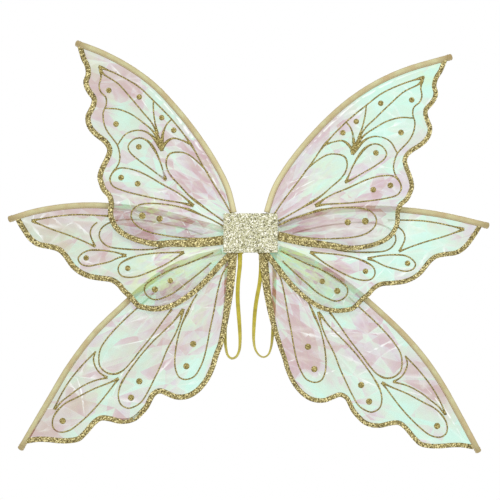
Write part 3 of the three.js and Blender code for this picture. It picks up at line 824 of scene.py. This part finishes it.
def make_organza():
    """Sheer woven fabric, sewn along one side: paler by the hub with painted light, darker at the tips,
    and darker on its rounded sides with painted shade.
    """
    look = Finish("gold_organza_tube", Roughness=0.42, Metallic=0.12, Sheen_Weight=0.25)
    along, across = look.attribute("along"), look.attribute("across")
    weave = look.math("ADD", look.waves(along, WEAVE_PITCH), look.waves(across, WEAVE_PITCH))
    seam = look.math("COMPARE", across, SEAM_AT, 0.28)
    thread = look.math("MULTIPLY", seam, look.math("GREATER_THAN", look.waves(along, SEAM_PITCH), -0.2))
    base = look.ramp(look.noise(24, 3.0), (0.32, ORGANZA_TAN), (0.5, ORGANZA), (0.68, ORGANZA_GREEN))
    # Painted shade: darker towards the tube's rounded sides.
    from_middle = look.math("ABSOLUTE", look.math("ADD", across, 0.9))
    rounded = look.math("MULTIPLY", look.math("ADD", from_middle, -2.2), 0.3, clamp=True)
    # Painted light: paler by the hub.
    base = look.over(base, look.node("MapRange", along, 50, 190, 0.7, 0), ORGANZA_PAINTED_LIGHT)
    base = look.over(base, look.node("MapRange", look.attribute("to_tip"), 4, 30, 0.75, 0), ORGANZA_TIP)
    base = look.over(base, rounded, ORGANZA_PAINTED_SHADE)
    base = look.over(base, thread, ORGANZA_THREAD)
    height = look.weigh((weave, 0.08), (thread, 0.5), (look.noise(5, 2.0), 1))
    return look.shade(Base_Color=base, Normal=look.bump(height, 0.7, 0.6)).material


def woven(look, along, across):
    """The height of woven ribs and the knit that crosses them."""
    return look.weigh((look.waves(across, 1.3), 1), (look.waves(along, 0.8), 0.4))


def make_elastic():
    look = Finish("woven_elastic", Roughness=0.62, Sheen_Weight=0.3)
    height = woven(look, look.attribute("along"), look.attribute("across"))
    # Painted shade between the ribs: darker in the valleys and lighter on the tops, mixed with a random
    # tone.
    shade = look.math("MULTIPLY_ADD", height, 0.22, 0.5)
    tone_and_rib_shade = look.weigh((look.noise(14, 2.0), 0.6), (shade, 0.4))
    colour = look.ramp(tone_and_rib_shade, (0.25, linear(146, 130, 20)), (0.5, linear(184, 170, 36)),
                       (0.75, linear(210, 198, 70)))
    return look.shade(Base_Color=colour, Normal=look.bump(height, 0.25, 0.7)).material


def make_felt():
    look = Finish("pressed_felt", Roughness=0.95, Sheen_Weight=0.35)
    fibres = look.noise(0.9, 4.0, look.stretched(1, 1, 0.4))
    tone = look.weigh((fibres, 0.55), (look.noise(7, 3.0), 0.45))
    colour = look.ramp(tone, (0.3, linear(190, 170, 108)), (0.5, linear(216, 200, 144)),
                       (0.7, linear(232, 220, 176)))
    return look.shade(Base_Color=colour, Normal=look.bump(fibres, 0.5, 0.7)).material


def make_thread():
    look = Finish("sewing_thread", Roughness=0.55, Sheen_Weight=0.2)
    twist = look.noise(0.5, 2.0)
    colour = look.ramp(twist, (0.35, linear(206, 190, 138)), (0.65, linear(238, 228, 190)))
    return look.shade(Base_Color=colour, Normal=look.bump(twist, 0.2, 0.5)).material


def make_steel():
    look = Finish("drawn_steel_wire", carried_over=True, Metallic=0.95)
    drawn = look.noise(0.25, 3.0, look.stretched(0.15, 1, 0.15))
    spots = look.noise(9, 3.0)
    colour = look.ramp(spots, (0.35, linear(170, 168, 162)), (0.65, linear(206, 205, 200)))
    rough = look.node("MapRange", drawn, 0.3, 0.7, 0.22, 0.42)
    return look.shade(Base_Color=colour, Roughness=rough, Normal=look.bump(drawn, 0.05, 0.4)).material


def make_plastic():
    look = Finish("moulded_plate", carried_over=True, IOR=1.49)
    grain = look.noise(0.7, 4.0)
    flow = look.noise(30, 2.0, look.stretched(1, 1, 0.5))
    colour = look.ramp(flow, (0.35, linear(224, 218, 202)), (0.65, linear(238, 234, 222)))
    rough = look.node("MapRange", grain, 0.3, 0.7, 0.42, 0.6)
    return look.shade(Base_Color=colour, Roughness=rough, Normal=look.bump(grain, 0.08, 0.5)).material


def make_anchor_webbing():
    look = Finish("anchor_webbing", carried_over=True, Roughness=0.7, Sheen_Weight=0.25)
    x, _, z = look.node("SeparateXYZ", look.place).node.outputs
    height = woven(look, along=z, across=x)
    colour = look.ramp(look.noise(12, 2.0), (0.35, linear(160, 142, 46)), (0.65, linear(200, 184, 76)))
    return look.shade(Base_Color=colour, Normal=look.bump(height, 0.25, 0.7)).material


FILM_PINK = (0.33, 0.07, 0.12)
FILM_PALE_PINK = (0.41, 0.22, 0.29)
FILM_LILAC = (0.46, 0.39, 0.47)
FILM_PALE = (0.45, 0.52, 0.45)
FILM_PALE_MINT = (0.40, 0.66, 0.51)
FILM_MINT = (0.33, 0.76, 0.60)
FILM_PAINTED_SHEEN = (0.50, 0.70, 0.26)
FILM_PAINTED_SHADE = (0.30, 0.22, 0.06)
FILM_PAINTED_LIGHT = (0.86, 0.90, 0.82)
FILM_PAINTED_GLINT = (0.92, 0.97, 0.93)

# Long painted highlights along folds in the film, along x and z, each with its width.
PAINTED_HIGHLIGHT_STREAKS = {
    "right_upper": [
        ([(76, 116), (104, 153), (149, 202), (194, 241), (243, 272), (296, 296), (345, 311)], 6),
        ([(60, 66), (90, 84), (130, 104)], 4), ([(70, 92), (100, 104), (124, 112)], 3),
    ],
    "left_upper": [
        ([(-60, 98), (-78, 131), (-112, 182), (-148, 227), (-188, 268), (-215, 290)], 9),
        ([(-89, 135), (-70, 100), (-40, 50)], 5), ([(-140, 168), (-100, 130), (-64, 97)], 2.5),
        ([(-163, 94), (-130, 66), (-102, 43)], 3), ([(-128, 25), (-118, 0), (-110, -23)], 3),
        ([(-290, 320), (-298, 316), (-306, 312)], 7), ([(-56, 48), (-46, 39), (-36, 32)], 5),
    ],
    "right_middle": [([(80, 18), (140, 32), (220, 40)], 3)],
    "left_middle": [([(-80, 8), (-140, 24), (-220, 40)], 3)],
    "right_lower": [
        ([(66, -84), (83, -108), (100, -138)], 6), ([(140, -190), (165, -188), (190, -184)], 5),
        ([(212, -230), (240, -216), (270, -200)], 7), ([(325, -285), (368, -336), (400, -388)], 5),
        ([(120, -270), (150, -262), (176, -250)], 4),
    ],
    "left_lower": [
        ([(-120, -62), (-190, -112), (-260, -180)], 5), ([(-110, -140), (-170, -190), (-250, -214)], 5),
        ([(-330, -262), (-318, -300), (-312, -350)], 5), ([(-200, -226), (-240, -262), (-262, -310)], 4),
    ],
}

material = {
    "cover": glitter("champagne_glitter", linear(76, 70, 36), linear(188, 186, 147), linear(252, 250, 236),
                     grain=1.6, roughness=0.45, metallic=0.2),
    "band": glitter("gold_glitter_band", linear(60, 46, 16), linear(142, 128, 74), linear(244, 232, 172),
                    grain=1.5, roughness=0.42, metallic=0.45),
    "vein": glitter("gold_glitter_line", linear(84, 70, 28), linear(136, 120, 62), linear(214, 202, 136),
                    grain=1.0, roughness=0.35, metallic=0.6),
    "film": make_film(),
    "organza": make_organza(),
    "elastic": make_elastic(),
    "felt": make_felt(),
    "thread": make_thread(),
    "steel": make_steel(),
    "plastic": make_plastic(),
    "webbing": make_anchor_webbing(),
}
FRAME_LOOKS = {"clamp_plate": "plastic", "base_plate": "plastic", "rivet": "steel", "wire": "steel",
               "strap_anchor": "webbing"}


# ---- the pieces of a wing --------------------------------------------------------------------------
def make_film_sheet(wing):
    """The creased film, with everything that is printed on it or folded over its edge."""
    flat, faces, painted_glint, centres = wing.film()
    heights, _ = wing.read(flat)
    film = make_object(f"film_sheet_{wing.name}", wing.place(flat, heights), faces, material["film"],
                       soft_shading=False)
    # The soft patches: pink and mint tint, painted sheen, and painted shade and light.
    for name, places in (("tint", TINTS), ("painted_sheen", PAINTED_SHEENS), ("shade", PAINTED_SHADE_AND_LIGHT)):
        mark(film, name, wing.patches(flat, places))
    fan = film.data.attributes.new("fan", "FLOAT_VECTOR", "POINT")
    fan.data.foreach_set("vector", wing.fan(flat).ravel())
    # Each point's painted highlight along the folds.
    mark(film, "painted_glint", painted_glint)
    mark(film, "facet", wing.read(centres)[1], "FACE")
    a, b, c = (flat[[f[k] for f in faces]] for k in range(3))
    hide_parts(f"film_{wing.name}", f"film_root_{wing.name}")
    wing.blend(film)
    pieces = make_glitter_band(wing), make_veins(wing), make_dots(wing)


def ribbon(wing, line, widths, high=0.32, under=0.05):
    """A printed line that follows the film: a low closed ridge with a width for each of its points."""
    widths = widths[:, None]
    across = left_of(line)
    sides = 5 if widths.max() > 4 else 3
    points = []
    for share in np.linspace(-0.5, 0.5, sides):
        flat = line + across * widths * share
        rise = high * (1 - abs(2 * share)) ** 0.5 + 0.08 if abs(share) < 0.5 else 0.08
        points.append(wing.place(flat, wing.height(flat) + rise))
    points.append(wing.place(line, wing.height(line) - under))
    rings = np.stack(points, axis=1).reshape(-1, 3)
    return rings, tube_faces(len(line), sides + 1)


def make_veins(wing):
    """The printed lines, wider where they run together."""
    solid = Solid()
    for points in VEINS[wing.layer]:
        pattern = spline(points, 3)
        width = np.full(len(pattern), VEIN_WIDTH)
        for x, z, extra, reach in POOLS[wing.layer]:
            width += extra * np.exp(-(np.linalg.norm(pattern - (x, z), axis=1) / reach) ** 2)
        line = wing.from_pattern(pattern)
        seen = ~wing.in_hub(line, 0.8)
        solid.add(*ribbon(wing, line[seen], width[seen]))
    veins = make_object(f"glitter_veins_{wing.name}", solid.points, solid.faces, material["vein"])
    wing.blend(veins)
    return veins


# A dot's section: each ring's share of the width, and its height.
DOT_DOME = ((0.9, -0.1), (1.0, 0.1), (0.94, 0.32), (0.7, 0.5), (0.35, 0.6), (0.04, 0.64))
DOT_SIDES = 18


def make_dots(wing):
    """Low round domes of glitter glue."""
    solid = Solid()
    turn = np.linspace(0, 2 * math.pi, DOT_SIDES, endpoint=False)
    circle = np.stack([np.cos(turn), np.sin(turn)], axis=1)
    for x, z, width in DOTS[wing.layer]:
        middle = wing.from_pattern([(x, z)])
        rings = []
        for share, rise in DOT_DOME:
            flat = middle + circle * width / 2 * share
            rings.append(wing.place(flat, wing.height(flat) + rise))
        solid.add(np.concatenate(rings), tube_faces(len(rings), DOT_SIDES))
    dots = make_object(f"glitter_dots_{wing.name}", solid.points, solid.faces, material["vein"])
    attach(dots, wing.body)
    return dots


def make_glitter_band(wing):
    """The scalloped rim: a glitter strip folded over the film's edge."""
    line = wing.trail[~wing.in_hub(wing.trail, 1.0)]
    share = np.linspace(0, 1, len(line))
    edge_width = EDGE_WIDTH[wing.side_name]
    width = edge_width + (ROOT_EDGE_WIDTH[wing.layer] - edge_width) * smooth(share, 0.7, 1)
    inward = -wing.side * left_of(line, 3)
    # How far in as a share of the band's width, then in millimetres, and how high.
    section = [(0, -0.4, 0), (0, 0.4, 0.34), (0.5, 0, 0.42), (1, 0, 0.3), (1, 0, -0.3), (0.5, 0, -0.42),
               (0, 0.4, -0.34)]
    points = []
    for reach, in_mm, rise in section:
        flat = line + inward * (reach * width + in_mm)[:, None]
        points.append(wing.place(flat, wing.height(flat) + rise))
    rings = np.stack(points, axis=1).reshape(-1, 3)
    faces = tube_faces(len(line), len(section))
    band = make_object(f"glitter_band_{wing.name}", rings, faces, material["band"])
    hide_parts(f"glitter_edge_{wing.name}")
    wing.blend(band)
    return band


# The casing's section: how far across, and the half thickness there. The film side is a sewn seam.
CASING_SECTION = [(-5.6, 0), (-5.3, 0.9), (-4.3, 1.35), (-2.6, 1.72), (-0.9, 1.8), (0.9, 1.6), (2.4, 1.1),
                  (3.4, 0.6), (4, 0.46), (4.9, 0.58), (5.8, 0)]


def tube_points(wing, line, puff, widen):
    """Rings of the casing's section along a line, thicker by puff and wider by widen at each ring."""
    inward = -wing.side * left_of(line, 2)
    section = CASING_SECTION + [(across, -half) for across, half in CASING_SECTION[-2:0:-1]]
    points = []
    for across, half in section:
        flat = line + inward * (across * widen)[:, None]
        points.append(wing.place(flat, half * puff))
    across = np.tile([across for across, _ in section], len(line))
    return np.stack(points, axis=1).reshape(-1, 3), len(section), across


def make_tube(wing, name, line, puff, widen, along, to_tip):
    """A stretch of the casing, with what its material reads: places along, across and from the tip."""
    points, sides, across = tube_points(wing, line, puff, widen)
    tube = make_object(f"{name}_{wing.name}", points, tube_faces(len(line), sides), material["organza"])
    mark(tube, "along", np.repeat(along, sides))
    mark(tube, "across", across)
    mark(tube, "to_tip", np.repeat(to_tip, sides))
    return tube


def make_casing(wing):
    """The fabric tube from the edge of the hub's cover to the tip, and its rounded end."""
    line = spline(LEADS[wing.name], CASING_STEP)
    clear = np.abs(line[:, 0]) > COVER.x / 2 - 0.6
    if wing.layer == "upper":
        clear |= line[:, 1] > COVER.z / 2 - 1
    line = line[int(np.argmax(clear)):]
    along = np.arange(len(line)) * CASING_STEP
    total = along[-1]
    body_end = along < total - CAP_LENGTH / 2
    wave = sum(np.sin(along / pitch + wing.random.uniform(0, 6)) for pitch in (1.7, 2.9, 5.3)) / 3
    puff = 1 + 0.13 * wave
    widen = 1 + 0.025 * np.roll(wave, 2)
    casing = make_tube(wing, "fabric_casing", line[body_end], puff[body_end], widen[body_end],
                       along[body_end], total - along[body_end])
    stands_for = [f"casing_{wing.name}"]
    if wing.layer == "upper":
        stands_for.append(f"casing_root_{wing.name}")
    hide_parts(*stands_for)
    wing.blend(casing)

    end = even(line[along > total - CAP_LENGTH - 6], CAP_STEP)
    end = end[-int(CAP_LENGTH / CAP_STEP) - 1:]
    share = np.linspace(0, 1, len(end))
    ridge = 0.06 * np.exp(-((share - 0.12) / 0.08) ** 2)
    groove = 0.12 * np.exp(-((share - 0.35) / 0.06) ** 2)
    fold = 1.08 + ridge - groove
    close = np.sqrt(np.clip(1 - (np.maximum(share - 0.6, 0) / 0.4) ** 2, 0.02, 1))
    to_tip = CAP_LENGTH * (1 - share)
    cap = make_tube(wing, "casing_tip", end, fold * close * 1.16, fold * (0.1 + 0.9 * close),
                    total - to_tip, to_tip)
    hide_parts(f"tip_cap_{wing.name}")
    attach(cap, wing.body)


# ---- the hub -----------------------------------------------------------------------------------------
CORNER_TURN = 15
SIDE_STEPS = 12
COVER_CORNER, COVER_EDGE, COVER_CROWN, COVER_RIPPLE = 3, 1.6, 0.9, 0.12
COVER_INSETS = [0, 0.25, 0.8, 1.6, 2.6, 4, 6, 9, 13, 18, 24, 30, 35]
PAD_CORNER, PAD_EDGE, PAD_CROWN, PAD_RIPPLE = 6, 1.8, 0.5, 0.1
PAD_GROOVE, PAD_GROOVE_DEEP = 5.0, 0.75
PAD_INSETS = [0, 0.3, 0.9, 1.8, 3, 4.2, 4.7, 5.0, 5.3, 5.8, 7, 10, 14, 20, 26, 32]
STITCH_PITCH, STITCH_GAP, STITCH_RADIUS = 3.4, 0.14, 0.32
STITCH_SIDES, STITCH_RINGS = 6, 5


def rounded_ring(half_x, half_z, corner, inset):
    """A rounded rectangle of a fixed number of points, inset from the outer one."""
    a, b = half_x - inset, half_z - inset
    r = max(min(corner - inset * 0.6, a, b), 0.3 * min(a, b) if inset > corner * 1.5 else 0.4)
    ring = []
    for to_x, to_z, start in ((1, 1, 0), (-1, 1, 90), (-1, -1, 180), (1, -1, 270)):
        for turn in np.radians(np.arange(start, start + 91, CORNER_TURN)):
            ring.append((to_x * (a - r) + r * math.cos(turn), to_z * (b - r) + r * math.sin(turn)))
    full = []
    for p, q in zip(ring, ring[1:] + ring[:1]):
        steps = SIDE_STEPS if math.dist(p, q) > 3 * math.radians(CORNER_TURN) * r else 1
        shares = [k / steps for k in range(steps)]
        full += [(p[0] + (q[0] - p[0]) * t, p[1] + (q[1] - p[1]) * t) for t in shares]
    return np.array(full)


def pillow(name, size, corner, front, back, insets, look):
    """A closed pad of rounded rings. front and back give y at each inset and place."""
    rings = [rounded_ring(size.x / 2, size.z / 2, corner, inset) for inset in insets]
    layers = [(ring, front(ring, inset)) for ring, inset in zip(reversed(rings), reversed(insets))]
    layers += [(ring, back(ring, inset)) for ring, inset in zip(rings, insets)]
    points = np.concatenate([np.column_stack([ring[:, 0], y, ring[:, 1]]) for ring, y in layers])
    return make_object(name, points, tube_faces(len(layers), len(rings[0])), look)


def soft_ripple(flat, seed, size):
    """A gentle unevenness of about one unit, for padded faces."""
    rng = random.Random(seed)
    total = np.zeros(len(flat))
    for _ in range(7):
        turn, phase = rng.uniform(0, math.pi), rng.uniform(0, 2 * math.pi)
        scale = size * rng.uniform(0.7, 1.5)
        total += np.sin((flat[:, 0] * math.cos(turn) + flat[:, 1] * math.sin(turn)) / scale + phase)
    return total / 7


def rounding(inset, radius):
    """How far a rounded edge has come round at an inset, from 0 at the rim to 1."""
    return math.sqrt(max(0.0, 1 - (1 - min(inset, radius) / radius) ** 2))


def make_cover():
    """The padded glitter patch on the front of the hub."""
    low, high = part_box("glitter_cover")
    middle, half = (high.y + low.y) / 2 / MM, (high.y - low.y) / 2 / MM

    def front(ring, inset):
        crown = COVER_CROWN * (1 - math.exp(-inset / 6))
        ripple = COVER_RIPPLE * soft_ripple(ring, 4, 7) * min(inset, 4) / 4
        return middle - rounding(inset, COVER_EDGE) * half - crown - ripple

    def back(ring, inset):
        return np.full(len(ring), middle + min(inset, 0.8) / 0.8 * half)

    cover = pillow("glitter_patch", COVER, COVER_CORNER, front, back, COVER_INSETS, material["cover"])
    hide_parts("glitter_cover")
    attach(cover, "hub")


def make_pad():
    """The felt pad, with a quilting line sewn around it."""
    size = size_of("back_pad")
    half = size.y / 2

    def front(ring, inset):
        return np.full(len(ring), -half - rounding(inset, PAD_EDGE / 2) * (half - 0.05))

    def back(ring, inset):
        crown = PAD_CROWN * (1 - math.exp(-max(inset - PAD_GROOVE, 0) / 8))
        dip = PAD_GROOVE_DEEP * math.exp(-((inset - PAD_GROOVE) / 0.7) ** 2)
        ripple = PAD_RIPPLE * soft_ripple(ring, 8, 9) * min(inset, 3) / 3
        return -half + rounding(inset, PAD_EDGE) * half + crown - dip + ripple

    pad = pillow("felt_back_pad", size, PAD_CORNER, front, back, PAD_INSETS, material["felt"])
    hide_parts("back_pad")
    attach(pad, "hub")

    solid = Solid()
    ring = rounded_ring(size.x / 2, size.z / 2, PAD_CORNER, PAD_GROOVE)
    path = even(np.vstack([ring, ring[:1]]), STITCH_PITCH)
    for start, end in zip(path[:-1], path[1:]):
        gap = STITCH_GAP * (end - start)
        add_stitch(solid, start + gap, end - gap)
    thread = make_object("pad_stitching", solid.points, solid.faces, material["thread"])
    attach(thread, "hub")


def add_stitch(solid, start, end):
    """One stitch on the pad's back, bowed out of the cloth between its two ends."""
    side = np.array([-(end - start)[1], (end - start)[0]]) / max(np.linalg.norm(end - start), 1e-6)
    points = []
    for t in np.linspace(0, 1, STITCH_RINGS):
        middle = start + (end - start) * t
        bow = math.sin(math.pi * t)
        thick = STITCH_RADIUS * (0.6 + 0.4 * bow)
        for turn in np.linspace(0, 2 * math.pi, STITCH_SIDES, endpoint=False):
            flat = middle + side * thick * math.cos(turn)
            points.append((flat[0], -0.55 + 0.35 * bow + thick * math.sin(turn), flat[1]))
    solid.add(points, tube_faces(STITCH_RINGS, STITCH_SIDES))


# ---- arm loops ---------------------------------------------------------------------------------------
def ribbon_section(*flats):
    """A flat ribbon's outline, as shares of its half width and half thickness."""
    top = [(-1, 0), (-0.93, 0.8)] + [(w, 1) for w in flats] + [(0.93, 0.8)]
    return top + [(-w, -t) for w, t in top]


def make_strap(side_name):
    """One arm loop: a flat ribbon that turns a little about its own middle line."""
    path = spline(STRAP_ROUTES[side_name], 4)
    along = np.concatenate([[0], np.cumsum(np.linalg.norm(np.diff(path, axis=0), axis=1))])
    share = along / along[-1]
    direction = directions(path, 2)
    twist = math.radians(STRAP_TWIST[side_name]) * np.sin(math.pi * share) ** 2
    waver = math.radians(STRAP_WAVER) * np.sin(5 * math.pi * share)
    turned = (twist + waver) * SIDES[side_name] * smooth(np.minimum(share, 1 - share), 0, 0.12)
    flat_way = np.cross(direction, [0, 1, 0])
    flat_way /= np.linalg.norm(flat_way, axis=1)[:, None]
    face = np.cross(direction, flat_way)
    wide = flat_way * np.cos(turned)[:, None] + face * np.sin(turned)[:, None]
    thick = np.cross(direction, wide)
    half_w, half_t = STRAP_WIDTH / 2, STRAP_THICK / 2
    section = ribbon_section(-0.6, -0.2, 0.2, 0.6)
    points = [path + wide * half_w * w + thick * half_t * t for w, t in section]
    rings = np.stack(points, axis=1).reshape(-1, 3)
    faces = tube_faces(len(path), len(section))
    strap = make_object(f"arm_loop_{side_name}", rings, faces, material["elastic"])
    mark(strap, "along", np.repeat(along, len(section)))
    mark(strap, "across", np.tile([w * half_w for w, _ in section], len(path)))
    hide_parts(f"strap_{side_name}")
    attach(strap, f"{side_name}_strap_loop")


def make_tongues(side_name):
    """The folded ends of the loop, sewn to the anchor and turned over the strap."""
    low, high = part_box(f"strap_anchor_{side_name}")
    anchor_y = (low.y + high.y) / 2 / MM
    bottom = low.z / MM
    solid, along, across = Solid(), [], []
    route = STRAP_ROUTES[side_name]
    section = ribbon_section(-0.5, 0, 0.5)
    for x, y, z in (route[0], route[-1]):
        # Each ring: its height, half width, half thickness and depth.
        rings = ((bottom + 2, 4.4, 0.45, anchor_y), (bottom + 0.4, 4.5, 0.6, anchor_y),
                 (bottom - 1.5, 4.5, 1.0, (anchor_y + y) / 2), (z + 1, 4.5, 1.2, y),
                 (z - 3, 4.5, 1.2, y), (z - 6.4, 4.5, 1.15, y), (z - 7, 4.3, 0.8, y))
        points = []
        for at, half_w, half_t, deep in rings:
            points += [(x + w * half_w, deep + t * half_t, at) for w, t in section]
            along += [at] * len(section)
            across += [w * half_w for w, _ in section]
        solid.add(points, tube_faces(len(rings), len(section)))
    tongues = make_object(f"strap_ends_{side_name}", solid.points, solid.faces, material["elastic"])
    mark(tongues, "along", along)
    mark(tongues, "across", across)
    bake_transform(tongues)


def dress_frame():
    """The pieces that keep their CAD shape get their real finish."""
    for name, node in frame["nodes"].items():
        for start, look in FRAME_LOOKS.items():
            if name.startswith(start):
                node.data.materials.clear()
                node.data.materials.append(material[look])


# ---- camera, light and floor -------------------------------------------------------------------------
def make_camera():
    camera = bpy.data.objects.new("camera", bpy.data.cameras.new("camera"))
    bpy.context.scene.collection.objects.link(camera)
    camera.location = (VIEW_MIDDLE[0], -CAMERA_DISTANCE, VIEW_MIDDLE[1])
    camera.rotation_euler = (math.radians(90), 0, 0)
    camera.data.sensor_width = SENSOR_WIDTH
    camera.data.lens = SENSOR_WIDTH * CAMERA_DISTANCE / VIEW_WIDTH
    camera.data.clip_end = 50
    bpy.context.scene.camera = camera


def make_area_light(name, place, width, power):
    light = bpy.data.lights.new(name, "AREA")
    light.shape, light.size, light.energy = "DISK", width, power
    made = bpy.data.objects.new(name, light)
    made.location = place
    made.rotation_euler = (-Vector(place)).to_track_quat("-Z", "Y").to_euler()
    bpy.context.scene.collection.objects.link(made)


def make_studio():
    """A white backdrop that lights the wings a little less than it shows, three lights and a floor."""
    world = bpy.data.worlds.new("studio")
    world.use_nodes = True
    bpy.context.scene.world = world
    tree = world.node_tree
    backdrop = tree.nodes["Background"]
    backdrop.inputs["Color"].default_value = (1, 1, 1, 1)
    rays = tree.nodes.new("ShaderNodeLightPath")
    strength = tree.nodes.new("ShaderNodeMapRange")
    strength.inputs["To Min"].default_value = WORLD_LIGHT
    strength.inputs["To Max"].default_value = 1.0
    tree.links.new(rays.outputs["Is Camera Ray"], strength.inputs["Value"])
    tree.links.new(strength.outputs["Result"], backdrop.inputs["Strength"])
    bpy.context.scene.view_settings.view_transform = "Standard"
    for name, (place, width, power) in LIGHTS.items():
        make_area_light(name, place, width, power)

    turns = np.linspace(0, 2 * math.pi, FLOOR_SIDES, endpoint=False)
    rim = [(FLOOR_RADIUS * math.cos(t), FLOOR_RADIUS * math.sin(t), FLOOR_Z) for t in turns]
    look = Finish("pale_floor", Roughness=0.8)
    grain = look.noise(60, 2.0)
    look.shade(Base_Color=look.ramp(grain, (0.3, (0.86, 0.86, 0.86)), (0.7, (0.9, 0.9, 0.9))))
    floor = make_object("floor", rim, [tuple(range(FLOOR_SIDES))], look.material)


make_camera()
for side_name in SIDES:
    make_strap(side_name)
    make_tongues(side_name)
make_studio()
make_cover()
make_pad()
dress_frame()
for side_name in SIDES:
    for layer in LAYERS:
        wing = Wing(side_name, layer)
        make_film_sheet(wing)
        make_casing(wing)
